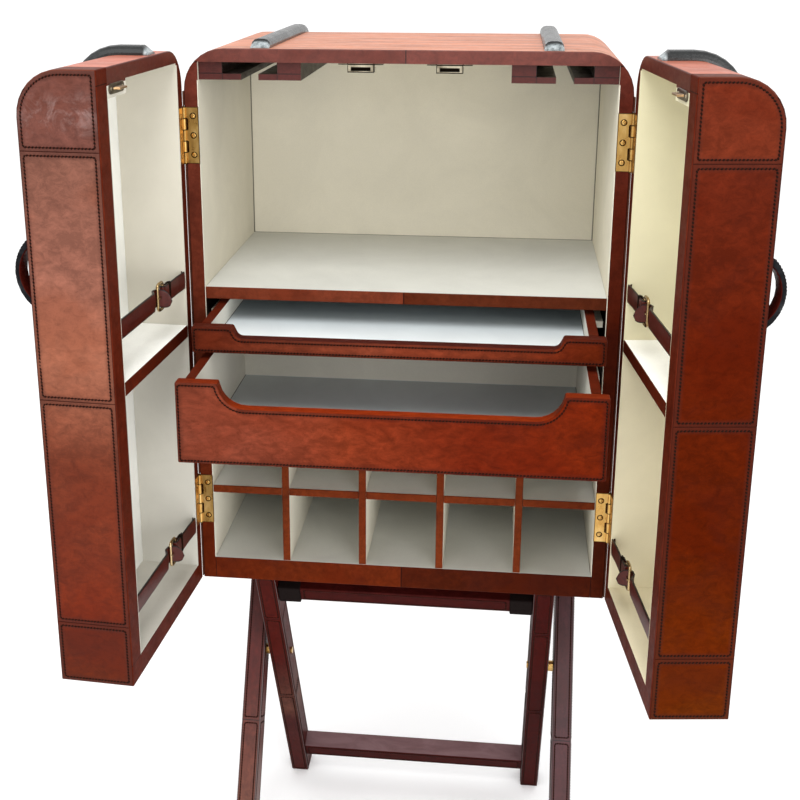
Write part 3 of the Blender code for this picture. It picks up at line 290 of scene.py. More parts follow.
def hide_look(finish, colour, cloud, smudged=0.26, contrast=0.2, stretch=(1, 1, 1)):
    """Waxed hide: soft clouds of dye, a fine mottle, dark smudges, pores, and creases."""
    broad = finish.clouds(cloud, 4, 0.55, 0.6, stretch)
    mottle = finish.clouds(cloud * 9, 6, 0.74, 0.5, stretch)
    level = finish.blend(0.5, broad, mottle)
    shade = finish.span(level, 0.41, 0.59, 1 - 1.5 * contrast, 1 + 1.2 * contrast)
    colour = finish.scaled(colour, shade)
    deeper = finish.add("ShaderNodeVectorMath", {0: colour, 1: DEEPER}, operation="MULTIPLY")
    colour = finish.mix(finish.span(broad, 0.46, 0.60, 0, 0.7), colour, deeper.outputs[0])
    smudge = finish.span(finish.clouds(cloud * 1.6, 3, 0.5, 0.6, stretch), 0.52, 0.72)
    colour = finish.mix(finish.maths("MULTIPLY", smudge, smudged), colour, (48, 18, 14))
    pores = finish.span(finish.cells(520), 0.04, 0.3, 0.80, 1.0)
    colour = finish.scaled(colour, pores)
    roughness = finish.span(mottle, 0.3, 0.7, 0.34, 0.52)
    creases = finish.clouds(30, 4, 0.6, 1.2, (1, 1, 4))
    grain = finish.clouds(700, 3, 0.6, 0)
    return colour, roughness, finish.blend(0.4, creases, grain)


def lining_look(finish, colour=WALL_CLOTH):
    """Cream cloth glued flat, a little yellowed in clouds, with a very fine weave."""
    aged = finish.span(finish.clouds(6, 5, 0.62, 0.5), 0.35, 0.65, 0.93, 1.03)
    weave = finish.clouds(1100, 2, 0.5, 0)
    shade = finish.maths("MULTIPLY", aged, finish.span(weave, 0.3, 0.7, 0.96, 1.03))
    return finish.scaled(colour, shade), 0.78, weave


def covered(finish, hide, lined, cloth=WALL_CLOTH):
    """Hide, given as its colour, roughness and height, but lining where the mask says so."""
    weave_colour, weave_roughness, weave = lining_look(finish, cloth)
    colour = finish.mix(lined, hide[0], weave_colour)
    roughness = finish.blend(lined, hide[1], weave_roughness)
    height = finish.blend(lined, hide[2], finish.maths("MULTIPLY", weave, 0.2))
    return finish.wire(colour, roughness, height)


def cover(piece, material):
    """A piece gets this material and no other."""
    piece.data.materials.clear()
    piece.data.materials.append(material)


def dress(name, material):
    """A CAD node keeps its shape and gets this material."""
    cover(frame["nodes"][name], material)


def polished(material, name):
    """The same finish with a stronger shine, as on the tops, which are waxed most."""
    shiny = material.copy()
    shiny.name = name
    shiny.node_tree.nodes["Principled BSDF"].inputs["Specular IOR Level"].default_value = TOP_SHINE
    return shiny


case = Finish("case_hide_and_lining", TRUNK)
case_hide = hide_look(case, HIDE, 6.0, stretch=(1, 1, 1.3))
off_middle = case.maths("ABSOLUTE", case.x)
strip = case.near(case.y, -STRIP_PROUD, STRIP_PROUD + STRIP_DEPTH)
on_long_strip = case.near(off_middle, 0, LINING_HALF)
level_share = case.span(case.z, 0, TRUNK_TOP)
strip_dye = case.mix(
    case.over(case.x, 0.001),
    case.ramp(level_share, LEFT_STRIP),
    case.ramp(level_share, RIGHT_STRIP),
)
strip_tone = hide_look(case, strip_dye, 9.0, 0.3)[0]
joints = case.any_of(
    case.all_of(case.near(case.x, *STRIP_JOINT), on_long_strip),
    case.all_of(case.near(case.z, CEILING, 0.0008), case.without(on_long_strip)),
)
outline = case.all_of(
    case.without(on_long_strip),
    case.without(case.near(off_middle, (LINING_HALF + TRUNK_HALF) / 2, EDGE_STRIP_HALF)),
    case.near(case.z, *EDGE_STRIP_SPAN),
)
joints = case.any_of(joints, case.maths("MULTIPLY", outline, 0.6))
strip_tone = case.mix(joints, strip_tone, DARK_HIDE)
# Painted sheen: the top's outer face is painted a lighter, pinker hide with pale streaks, standing
# for the light on its waxed surface.
on_top = case.over(case.z, TRUNK_TOP - 0.004)
top_sheen_streaks = case.span(case.clouds(26, 5, 0.65, 0.4, (0.25, 1.6, 1)), 0.38, 0.62, 0.74, 1.20)
case_dye_and_top_sheen = case.mix(on_top, case_hide[0], case.scaled(TOP_SHEEN_HIDE, top_sheen_streaks))
case_colour = case.mix(strip, case_dye_and_top_sheen, strip_tone)
rail_levels = zip((off_middle, case.y, case.z), RAIL_MIDDLE, RAIL_HALF)
rails = case.all_of(*[case.near(level, middle, half) for level, middle, half in rail_levels])
rail_line = case.any_of(
    case.near(case.z, RAIL_LEDGE, GROOVE_HALF),
    *[case.near(off_middle, place, GROOVE_HALF) for place in RAIL_GROOVES],
)
rail_tone = hide_look(case, RAIL_HIDE, 20.0)[0]
rail_tone = case.mix(rail_line, rail_tone, (24, 10, 9))
rail_tone = case.mix(case.under(case.y, RAIL_FRONT), (26, 13, 11), rail_tone)
case_colour = case.mix(rails, case_colour, rail_tone)
drawer_bay = case.within((-0.31, 0.0016, RACK_TOP), (0.31, LINING_BACK + 0.0012, SHELF_BASE))
# Painted shade: the case walls beside the drawer bay are painted dark hide instead of cloth, for
# the dark gaps beside the drawer boxes.
bay_wall_shade = case.all_of(drawer_bay, case.near(off_middle, LINING_HALF, 0.002))
case_colour = case.mix(bay_wall_shade, case_colour, DARK_HIDE)
lined = case.any_of(
    case.within(
        (-LINING_HALF - STRIP_DEPTH, -0.002, CASE_FLOOR - 0.0004),
        (LINING_HALF + STRIP_DEPTH, LINING_BACK + 0.0012, RAIL_BASE),
    ),
    case.within(
        (-LINING_HALF - 0.0005, STRIP_DEPTH, RAIL_BASE),
        (LINING_HALF + 0.0005, LINING_BACK + 0.0012, CEILING + 0.0004),
    ),
)
lined = case.all_of(lined, case.without(rails), case.without(bay_wall_shade))
# Painted shade: thin darker lines of cloth in the back corners and where the shelf meets the back
# wall.
at_back = partial(case.near, case.y, BACK_CORNER)
corner_shade_lines = case.any_of(
    case.all_of(at_back(0.0016), case.near(off_middle, SIDE_CORNER, 0.0016)),
    case.all_of(at_back(0.0010), case.near(case.z, SHELF_CORNER, 0.0006)),
)
# Painted shade: the left wall's cloth is darker, and the back wall's a little darker.
left_wall_painted_shade = case.span(case.x, -0.2840, -0.2830, 0.80, 1)
on_back = case.over(case.y, LINING_BACK - 0.0006)
wall_painted_shade = case.maths("MULTIPLY", left_wall_painted_shade, case.blend(on_back, 1.0, 0.92))
on_floor = case.under(case.z, CASE_FLOOR + 0.0006)
cell_cloth = case.mix(on_floor, CELL_CLOTH, CELL_FLOOR_CLOTH)
in_cells = case.under(case.z, RACK_TOP)
case_cloth = case.mix(in_cells, case.scaled(WALL_CLOTH, wall_painted_shade), cell_cloth)
case_cloth = case.mix(corner_shade_lines, case_cloth, CORNER_SHADE)
case_material = covered(case, (case_colour, *case_hide[1:]), lined, case_cloth)
for name in ("left_side_panel", "right_side_panel", "bottom_panel", "back_panel"):
    dress(name, case_material)
dress("top_panel", polished(case_material, "case_top_hide_and_lining"))

# The seams of the case: waxed thread in pressed grooves round every panel of hide, on the
# sides, over the rounded top edges and on the back.
STITCH_PITCH = 0.0044
STITCH_SIZE = (0.0036, 0.0026, 0.0015)
STITCH_SLANT = math.radians(34)
STITCH_RISE = 0.0002
GROOVE_WIDTH = 0.0016
GROOVE_HEIGHT = 0.001
GROOVE_SECTION = ((-0.5, -0.3), (0.5, -0.3), (0.42, 0.15), (-0.42, 0.15))
THREAD_INSET = 0.0050
SEAMS = (0.0, 0.088, 0.398, 0.708, 0.803)
BACK_HALF = 0.305
BACK_TOP = 0.745
BELT_PLACE = 0.306
END_ROUNDING = 0.056


def speckled(name, pattern, dark, light, roughness):
    """A plain finish in clouds of two tones."""
    finish = Finish(name)
    finish.wire(finish.ramp(finish.clouds(*pattern), ((0.3, dark), (0.7, light))), roughness)
    return finish


thread = speckled("waxed_thread", (600, 2, 0.5, 0), (14, 6, 3), (34, 15, 9), 0.4)
thread.shader.inputs["Specular IOR Level"].default_value = 0.04
groove = speckled("pressed_groove", (160, 3, 0.5, 0), (48, 17, 10), (68, 27, 17), 0.6)

bpy.ops.object.select_all(action="DESELECT")
bpy.ops.mesh.primitive_uv_sphere_add(segments=5, ring_count=3, radius=0.5, location=(0, 0, 0))
stitch = bpy.context.object
bpy.ops.object.mode_set(mode="EDIT")
bpy.ops.mesh.select_all(action="SELECT")
bpy.ops.transform.rotate(value=math.pi / 2, orient_axis="Y", center_override=(0, 0, 0))
bpy.ops.transform.resize(value=STITCH_SIZE, center_override=(0, 0, 0))
bpy.ops.object.mode_set(mode="OBJECT")
STITCH_POINTS = [vertex.co.copy() for vertex in stitch.data.vertices]
STITCH_FACES = [tuple(face.vertices) for face in stitch.data.polygons]
bpy.data.objects.remove(stitch)


def turned_path(corners, steps=8, closed=True):
    """Points through corners (u, v, radius), each turned by an arc."""
    points = []
    for index, (u, v, radius) in enumerate(corners):
        here = Vector((u, v))
        if radius == 0 or (not closed and index in (0, len(corners) - 1)):
            points.append(here)
            continue
        before = (Vector(corners[index - 1][:2]) - here).normalized()
        after = (Vector(corners[(index + 1) % len(corners)][:2]) - here).normalized()
        half = before.angle(after) / 2
        centre = here + (before + after).normalized() * (radius / math.sin(half))
        start = here + before * (radius / math.tan(half)) - centre
        end = here + after * (radius / math.tan(half)) - centre
        turn = math.atan2(start.x * end.y - start.y * end.x, start.dot(end))
        for step in range(steps + 1):
            spoke = Matrix.Rotation(turn * step / steps, 2) @ start
            if not points or (centre + spoke - points[-1]).length > 0.00003:
                points.append(centre + spoke)
    return points


def oblong(low, high, radii=(0, 0, 0, 0), steps=8):
    """A closed path round a rectangle, anticlockwise from its low corner."""
    corners = (low, (high[0], low[1]), high, (low[0], high[1]))
    return turned_path([(*corner, radius) for corner, radius in zip(corners, radii)], steps)


def inset(points, distance):
    """A closed path moved inwards, for one that runs anticlockwise."""
    moved = []
    for index, here in enumerate(points):
        before = (here - points[index - 1]).normalized()
        after = (points[(index + 1) % len(points)] - here).normalized()
        first = Vector((-before.y, before.x))
        second = Vector((-after.y, after.x))
        moved.append(here + (first + second) * (distance / (1 + first.dot(second))))
    return moved


def path_length(path):
    return sum((second - first).length for first, second in zip(path, path[1:]))


def walk(path, count):
    """Even steps along a path of points, each as (index, share, spot, heading)."""
    lengths = [0.0]
    for first, second in zip(path, path[1:]):
        lengths.append(lengths[-1] + (second - first).length)
    place = 0
    for index in range(count + 1):
        along = lengths[-1] * index / count
        while place < len(lengths) - 2 and lengths[place + 1] < along:
            place += 1
        share = (along - lengths[place]) / max(1e-9, lengths[place + 1] - lengths[place])
        heading = (path[place + 1] - path[place]).normalized()
        yield place, share, path[place].lerp(path[place + 1], share), heading


def faces_outwards(merge=0.0):
    """The active piece's faces are turned outwards, once its doubles are merged."""
    bpy.ops.object.mode_set(mode="EDIT")
    bpy.ops.mesh.select_all(action="SELECT")
    if merge:
        bpy.ops.mesh.remove_doubles(threshold=merge)
    bpy.ops.mesh.normals_make_consistent(inside=False)
    bpy.ops.object.mode_set(mode="OBJECT")


def make_piece(name, points, faces, kinds, materials, body):
    """A piece from bare points and faces, with its normals made to point outwards."""
    mesh = bpy.data.meshes.new(name)
    mesh.from_pydata([tuple(point) for point in points], [], faces)
    for material in materials:
        mesh.materials.append(material)
    mesh.polygons.foreach_set("material_index", kinds)
    piece = bpy.data.objects.new(name, mesh)
    bpy.context.scene.collection.objects.link(piece)
    bpy.ops.object.select_all(action="DESELECT")
    piece.select_set(True)
    bpy.context.view_layer.objects.active = piece
    faces_outwards()
    bpy.ops.object.shade_smooth()
    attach(piece, body)


def sewn(name, rows, body):
    """Rows of slanted stitches, each in its groove. A row is (points, normals, closed)."""
    points = []
    faces = []
    kinds = []
    for path, normals, closed in rows:
        path = list(path)
        if isinstance(normals, Vector):
            normals = [normals] * len(path)
        if closed:
            path.append(path[0])
            normals = list(normals) + [normals[0]]
        rings = []
        count = max(2, round(path_length(path) / STITCH_PITCH))
        for place, share, spot, heading in walk(path, count):
            normal = normals[place].lerp(normals[place + 1], share).normalized()
            rings.append((spot, normal, normal.cross(heading).normalized()))
        first_point = len(points)
        for spot, normal, side in rings:
            for across, up in GROOVE_SECTION:
                edge = side * (across * GROOVE_WIDTH) + normal * (up * GROOVE_HEIGHT)
                points.append(spot + edge)
        for index in range(len(rings) - 1):
            base = first_point + 4 * index
            for a, b in ((0, 1), (1, 2), (2, 3), (3, 0)):
                faces.append((base + a, base + b, base + 4 + b, base + 4 + a))
        last = first_point + 4 * (len(rings) - 1)
        faces.append((first_point + 3, first_point + 2, first_point + 1, first_point))
        faces.append((last, last + 1, last + 2, last + 3))
        kinds += [1] * (4 * (len(rings) - 1) + 2)
        for (spot, normal, _), (beyond, _, _) in zip(rings, rings[1:]):
            centre = (spot + beyond) / 2 + normal * STITCH_RISE
            direction = (beyond - spot).normalized()
            direction.rotate(Matrix.Rotation(STITCH_SLANT, 3, normal))
            across = normal.cross(direction).normalized()
            base = len(points)
            turned = Matrix((direction, across, normal)).transposed()
            points += [centre + turned @ point for point in STITCH_POINTS]
            faces += [tuple(base + index for index in face) for face in STITCH_FACES]
            kinds += [0] * len(STITCH_FACES)
    materials = (thread.material, groove.material)
    make_piece(name, points, faces, kinds, materials, body)


def panel_row(low_u, high_u, low_v, high_v, to_point, normal):
    """A closed row round a flat panel, kept inside its edges."""
    row = inset(oblong((low_u, low_v), (high_u, high_v)), THREAD_INSET)
    return [to_point(u, v) for u, v in row], normal, True


case_rows = []
for side in (-1, 1):
    corner = TRUNK + Vector((side * TRUNK_HALF, 0, 0))
    outwards = Vector((side, 0, 0))
    for low, high in zip(SEAMS, SEAMS[1:4]):
        case_rows.append(
            panel_row(0, TRUNK_DEPTH, low, high, lambda u, v: corner + Vector((0, u, v)), outwards)
        )
corner = TRUNK + Vector((0, TRUNK_DEPTH, 0))
backwards = Vector((0, 1, 0))
for low, high in zip(SEAMS, (*SEAMS[1:3], BACK_TOP)):
    case_rows.append(
        panel_row(
            -BACK_HALF, BACK_HALF, low, high, lambda u, v: corner + Vector((u, 0, v)), backwards
        )
    )
belt_foot = (TRUNK_HALF, SEAMS[3] + THREAD_INSET, 0)
belt_half = [(TRUNK_HALF, TRUNK_TOP, END_ROUNDING + 0.001), belt_foot]
belt_corners = [(-u, v, radius) for u, v, radius in reversed(belt_half)] + belt_half
belt = turned_path(belt_corners, 12, closed=False)
belt_normals = []
for index, here in enumerate(belt):
    heading = (belt[min(index + 1, len(belt) - 1)] - belt[max(index - 1, 0)]).normalized()
    belt_normals.append(Vector((-heading.y, 0, heading.x)))
belt_spots = [TRUNK + Vector((u, BELT_PLACE, v)) for u, v in belt]
case_rows.append((belt_spots, belt_normals, False))
sewn("case_stitching", case_rows, "trunk")

# The upper shelf and the bottle rack: thin boards lined all over, with strips of hide along
# their front edges. The upright strips run through, and the level ones are cut between them.
shelf = Finish("shelf_hide_and_lining", TRUNK)
shelf_right = shelf.over(shelf.x, 0.001)
shelf_dye = shelf.mix(shelf_right, (108, 50, 32), (84, 37, 20))
shelf_hide = hide_look(shelf, shelf_dye, 9.0, 0.3)
shelf_tone = shelf.mix(shelf.near(shelf.x, *STRIP_JOINT), shelf_hide[0], DARK_HIDE)
shelf_lined = shelf.over(shelf.y, STRIP_DEPTH)
# Painted shade: the shelf's cloth is greyer in its last millimetre, against the back wall.
shelf_back_shade = shelf.over(shelf.y, LINING_BACK - 0.0010)
shelf_cloth = shelf.mix(shelf_back_shade, FLOOR_CLOTH, (168, 164, 152))
dress("upper_shelf", covered(shelf, (shelf_tone, *shelf_hide[1:]), shelf_lined, shelf_cloth))
rack_dividers = [f"rack_divider_{number}" for number in range(1, 5)]
for label, boards, cloth in (
    ("rack_level", ("rack_top_panel", "rack_shelf"), CELL_FLOOR_CLOTH),
    ("rack_upright", rack_dividers, CELL_CLOTH),
):
    rack = Finish(f"{label}_hide_and_lining", TRUNK)
    rack_hide = hide_look(rack, (108, 46, 20), 14.0, 0.3)
    rack_lined = rack.over(rack.y, STRIP_DEPTH)
    rack_material = covered(rack, rack_hide, rack_lined, cloth)
    for board in boards:
        dress(board, rack_material)

# The catches: two folded boxes of dull nickel under the top, each screwed up by its two ears.
CATCH_PLACE = 0.060
EAR_SPREAD = 0.0243
nickel = Finish("dull_nickel")
nickel_marks = nickel.clouds(60, 5, 0.6, 0.2)
nickel_colour = nickel.ramp(nickel_marks, ((0.3, (96, 86, 68)), (0.7, (196, 184, 160))))
nickel_material = nickel.wire(
    nickel_colour, nickel.span(nickel_marks, 0.3, 0.7, 0.22, 0.4), nickel_marks, 0.0001
)
nickel.shader.inputs["Metallic"].default_value = 1
box = Finish("catch_box_nickel", TRUNK)
box_marks = box.clouds(60, 5, 0.6, 0.2)
box_tone = box.ramp(box_marks, ((0.3, (104, 94, 76)), (0.7, (206, 196, 172))))
# Painted shade: dark lines along the box's edges, under the top and in the slot where the tongue
# enters.
off_catch = box.away(box.maths("ABSOLUTE", box.x), CATCH_PLACE)
drop = box.maths("SUBTRACT", CEILING, box.z)
box_shade_lines = box.any_of(
    box.near(off_catch, 0.0178, 0.0008),
    box.near(drop, 0.0118, 0.0008),
    box.near(drop, 0.0014, 0.0008),
    box.all_of(box.near(drop, 0.0076, 0.0026), box.under(off_catch, 0.0134)),
)
box_material = box.wire(box.mix(box_shade_lines, box_tone, (20, 15, 10)), 0.3, box_marks, 0.0001)
box.shader.inputs["Metallic"].default_value = 1
# Near black: painted shade on the floors of the screws' slots, and the black hide of the straps'
# keepers.
slot_shade_and_keeper_black = speckled("screw_slot_shade_and_keeper_hide", (400,), (14, 10, 8), (30, 22, 16), 0.6)
for side in ("left", "right"):
    dress(f"{side}_catch", box_material)


def rounded(piece, width, segments, angle):
    """The active piece's edges that are sharper than the angle are rounded."""
    rounding = piece.modifiers.new("rounded_edges", "BEVEL")
    rounding.width = width
    rounding.segments = segments
    rounding.limit_method = "ANGLE"
    rounding.angle_limit = math.radians(angle)
    bpy.ops.object.modifier_apply(modifier=rounding.name)


def refined(node, width, segments, material, body):
    """A copy of a CAD node with finer rounded edges, which stands for that node."""
    bpy.ops.object.select_all(action="DESELECT")
    piece = bpy.data.objects.new(f"{node}_finished", frame["nodes"][node].data.copy())
    bpy.context.scene.collection.objects.link(piece)
    piece.select_set(True)
    bpy.context.view_layer.objects.active = piece
    bpy.ops.object.mode_set(mode="EDIT")
    bpy.ops.mesh.select_all(action="SELECT")
    bpy.ops.mesh.remove_doubles(threshold=0.00002)
    bpy.ops.mesh.dissolve_limited(angle_limit=math.radians(1))
    bpy.ops.object.mode_set(mode="OBJECT")
    faces_outwards()
    rounded(piece, width, segments, 50)
    bpy.ops.object.shade_smooth_by_angle(angle=math.radians(35))
    cover(piece, material)
    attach(piece, body)
    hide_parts(node)


bpy.ops.object.select_all(action="DESELECT")
bpy.ops.mesh.primitive_cylinder_add(vertices=20, radius=1, depth=0.4, location=(0, 0, 0))
screw = bpy.context.object
bpy.ops.mesh.primitive_cube_add(size=1, location=(0, 0, 0.2))
cutter = bpy.context.object
cutter.scale = (3, 0.26, 0.25)
notch = screw.modifiers.new("slot", "BOOLEAN")
notch.operation = "DIFFERENCE"
notch.object = cutter
bpy.context.view_layer.objects.active = screw
bpy.ops.object.modifier_apply(modifier=notch.name)
rounded(screw, 0.08, 1, 50)
SCREW_POINTS = [vertex.co.copy() for vertex in screw.data.vertices]
SCREW_FACES = [tuple(face.vertices) for face in screw.data.polygons]
# The slot's floor takes the second material, painted dark as shade.
SCREW_KINDS = [int(face.center.z < 0.12 and face.normal.z > 0.9) for face in screw.data.polygons]
bpy.data.objects.remove(screw)
bpy.data.objects.remove(cutter)


def screwed(name, heads, radius, material, body):
    """Slotted screw heads, each given by its place, its outward direction and the slot's turn."""
    points = []
    faces = []
    kinds = []
    for place, outwards, turn in heads:
        matrix = outwards.to_track_quat("Z", "Y").to_matrix() @ Matrix.Rotation(turn, 3, "Z")
        base = len(points)
        points += [place + matrix @ (p * radius) for p in SCREW_POINTS]
        faces += [tuple(base + index for index in face) for face in SCREW_FACES]
        kinds += SCREW_KINDS
    make_piece(name, points, faces, kinds, (material, slot_shade_and_keeper_black.material), body)


ear_heads = []
for side in (-1, 1):
    for ear in (-1, 1):
        across = side * CATCH_PLACE + ear * EAR_SPREAD
        spot = TRUNK + Vector((across, 0.010, CEILING - 0.0019))
        ear_heads.append((spot, Vector((0, 0, -1)), 0.6 * ear))
screwed("catch_screws", ear_heads, 0.0028, nickel_material, "trunk")

# The slats: half-round bars covered in black hide, which shield the top when the trunk is stood
# on end or carried. Their cut front ends are painted pale grey, partly as bare worn hide and partly
# as a painted highlight of the light on them. The doors carry the same.


def black_slats(name, **corner):
    slat = Finish(name, **corner)
    wear = slat.clouds(60, 6, 0.68, 0.4)
    colour = slat.ramp(wear, ((0.35, (6, 8, 8)), (0.55, (18, 21, 21)), (0.78, (84, 88, 88))))
    # Painted highlight and wear: the sloped front end is painted pale grey.
    front = slat.span(slat.y, 0.0075, 0.0105, 1, 0)
    bare_and_highlight_tones = ((0.35, (88, 96, 98)), (0.6, (176, 184, 186)))
    bare_end_and_highlight = slat.ramp(slat.clouds(160, 5, 0.7), bare_and_highlight_tones)
    colour = slat.mix(slat.maths("MULTIPLY", front, 0.75), colour, bare_end_and_highlight)
    slat.shader.inputs["Specular IOR Level"].default_value = 0.5
    return slat.wire(colour, slat.span(wear, 0.3, 0.7, 0.2, 0.36), slat.clouds(420), 0.0003)


top_slat_material = black_slats("black_top_slat_hide", origin=TRUNK)
for side in ("left", "right"):
    dress(f"{side}_top_slat", top_slat_material)

# The drawers: hide-covered fronts with a scoop to take them by, sewn all round near the edge,
# and boxes with hide over the outsides and rims, white cloth walls and a grey-white floor.
DRAWER_HALF = 0.2795
SCOOP_HALF = 0.2240
DRAWER_WALL = 0.013
TRAY_BACK = 0.3085
TRAY_FLOOR = 0.0104
UPPER_DYES = ((0.0, (94, 38, 21)), (0.45, (128, 60, 39)), (1.0, (98, 32, 8)))
LOWER_DYES = ((0.0, (118, 60, 44)), (0.4, (112, 44, 23)), (0.7, (94, 28, 9)), (1.0, (96, 27, 4)))

for label, top, height, depth, slant, radius, dyes, rim_tone in (
    ("upper_drawer", 0.4412, 0.037, 0.0155, 0.0075, 0.010, UPPER_DYES, (72, 28, 22)),
    ("lower_drawer", 0.3950, 0.1128, 0.0345, 0.008, 0.036, LOWER_DYES, (134, 46, 16)),
):
    front_low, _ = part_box(f"{label}_front")
    base = top - height
    rim = top - depth
    right_half = [
        (DRAWER_HALF, base, 0),
        (DRAWER_HALF, top, 0),
        (SCOOP_HALF, top, 0),
        (SCOOP_HALF - slant, rim, radius),
    ]
    left_half = [(-u, v, bend) for u, v, bend in reversed(right_half)]
    outline = turned_path([left_half[-1], *right_half, *left_half[:-1]], 12)
    face_y = front_low.y - TRUNK.y
    spots = [TRUNK + Vector((u, face_y, v)) for u, v in inset(outline, 0.0038)]
    sewn(f"{label}_stitching", [(spots, Vector((0, -1, 0)), True)], label)
    front = Finish(f"{label}_front_hide", TRUNK + Vector((0, face_y, 0)))
    dye = front.ramp(front.span(front.x, -DRAWER_HALF, DRAWER_HALF), dyes)
    dye, roughness, relief = hide_look(front, dye, 6.0, stretch=(1, 1, 1.6))
    marbled = front.clouds(16, 5, 0.6, 2.2, (1.4, 1, 3.0))
    dye = front.scaled(dye, front.span(marbled, 0.36, 0.64, 0.84, 1.12))
    in_scoop = front.near(front.x, 0, SCOOP_HALF - slant - radius * 0.5)
    upper_edge = front.blend(in_scoop, top, rim)
    edge_wax = front.any_of(
        front.span(front.maths("ABSOLUTE", front.x), DRAWER_HALF - 0.011, DRAWER_HALF - 0.003),
        front.span(front.z, base + 0.003, base + 0.010, 1, 0),
        front.span(front.maths("SUBTRACT", upper_edge, front.z), 0.003, 0.009, 1, 0),
    )
    dye = front.mix(front.maths("MULTIPLY", edge_wax, 0.5), dye, (48, 20, 16))
    behind = front.span(front.y, 0.0008, 0.0024)
    on_rim = front.any_of(
        front.all_of(
            front.near(front.x, 0, SCOOP_HALF),
            front.span(front.z, rim + 0.002, rim + 0.012, 1, 0),
        ),
        front.maths("MULTIPLY", front.over(front.z, top - 0.0012), 0.6),
    )
    rim_dye = hide_look(front, rim_tone, 16.0, 0.2, 0.2, (0.4, 1, 1))[0]
    side_dye = hide_look(front, (96, 36, 18), 12.0, 0.4)[0]
    dye = front.mix(behind, dye, front.mix(on_rim, side_dye, rim_dye))
    wrinkled = front.all_of(marbled, front.span(front.x, -DRAWER_HALF, 0.02, 1, 0.1))
    relief = front.maths("ADD", relief, front.maths("MULTIPLY", wrinkled, 2.4))
    dress(f"{label}_front", front.wire(dye, roughness, relief, 0.0008))
    box_low, box_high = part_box(f"{label}_box")
    tray = Finish(f"{label}_box_hide_and_lining", (MIDDLE_X, box_low.y, box_low.z))
    inner = (box_high.x - box_low.x) / 2 - DRAWER_WALL
    tray_hide = hide_look(tray, (92, 32, 16), 10.0, 0.4)
    pocket = tray.within(
        (-inner - 0.0004, -0.01, 0.0095), (inner + 0.0004, TRAY_BACK, height - 0.0004)
    )
    bottom = tray.under(tray.z, TRAY_FLOOR)
    back = tray.near(tray.y, TRAY_BACK, 0.0008)
    if label == "upper_drawer":
        # Painted light and shade: the floor is painted white at the front, where light falls in,
        # and grey further back under the shelf.
        floor_painted_light_and_shade = tray.mix(tray.span(tray.y, 0.03, 0.17), (226, 232, 234), (150, 158, 162))
        cloth = tray.mix(bottom, (222, 220, 210), floor_painted_light_and_shade)
    else:
        cloth = tray.mix(bottom, (222, 219, 206), (204, 210, 210))
    sides = tray.near(tray.maths("ABSOLUTE", tray.x), inner, 0.0008)
    # Painted shade: darker lines of cloth in the box's inner corners.
    corners = tray.any_of(tray.all_of(sides, tray.any_of(bottom, back)), tray.all_of(back, bottom))
    cloth = tray.mix(corners, cloth, (96, 92, 82))
    dress(f"{label}_box", covered(tray, tray_hide, pocket, cloth))

# The doors: two shallow cases of the same boards. Their leading ends are covered with four
# panels of hide, sewn all round, with a seam between each two.
HINGE_OUT = 0.0010
HINGE_BACK = 0.0007
DOOR_WIDTH = 0.3045
DOOR_DEPTH = 0.101
DOOR_ANGLES = {"left": 93.75, "right": 96.75}
DOOR_CAVITY = 0.089
DOOR_WALLS = (0.020, 0.2725)
DOOR_FLOOR = 0.0305
SHEET_MARGIN = 0.0015
PROUD_OF_END = 0.00115
COVER_TOP = 0.7455
SHEEN_LEVEL = 0.752
CREASE_LEVELS = (0.455, 0.428)
hinge_pins = {
    joint["name"]: Vector(joint["pos_m"]) for joint in frame["joints"] if "pos_m" in joint
}
# The end panels' tones, bottom to top. On the left door, the top panel's greyer brown is partly dye
# and partly painted sheen.
end_dyes_and_sheen = {
    "left": (
        (0.0, (84, 28, 6)), (0.10, (88, 28, 6)), (0.14, (100, 32, 8)), (0.40, (102, 46, 27)),
        (0.56, (136, 83, 63)), (0.70, (128, 80, 65)), (0.87, (112, 71, 58)),
        (0.89, (98, 58, 49)), (1.0, (94, 56, 48)),
    ),
    "right": (
        (0.0, (86, 34, 3)), (0.12, (87, 31, 2)), (0.3, (76, 21, 1)), (0.6, (76, 20, 3)),
        (0.87, (84, 28, 13)), (0.89, (95, 37, 20)), (1.0, (94, 36, 20)),
    ),
}


def door_place(label, side):
    """From a door's own measures (from its hinge edge, in from its open side, up) to the scene."""
    pin = hinge_pins[f"{label}_door_swing"]
    return (
        Matrix.Translation((pin.x, pin.y, TRUNK.z))
        @ Matrix.Rotation(math.radians(side * DOOR_ANGLES[label]), 4, "Z")
        @ Matrix.Diagonal((-side, -1, 1, 1))
        @ Matrix.Translation((HINGE_OUT, HINGE_BACK, 0))
    )


def door_measures(label, side):
    """The same for a finish, because TEXTURE mapping undoes scale, turn and place."""
    return {
        "origin": door_places[label].to_translation(),
        "turn": (0, 0, math.radians(side * DOOR_ANGLES[label])),
        "mirror": (-side, -1, 1),
    }


def faced(matrix, *direction):
    """A direction in a door's own measures, in the scene."""
    return (matrix.to_3x3() @ Vector(direction)).normalized()


def thickened(piece, thickness, offset=-1):
    """The active sheet gets its thickness."""
    shell = piece.modifiers.new("thickness", "SOLIDIFY")
    shell.thickness = thickness
    shell.offset = offset
    bpy.ops.object.modifier_apply(modifier=shell.name)


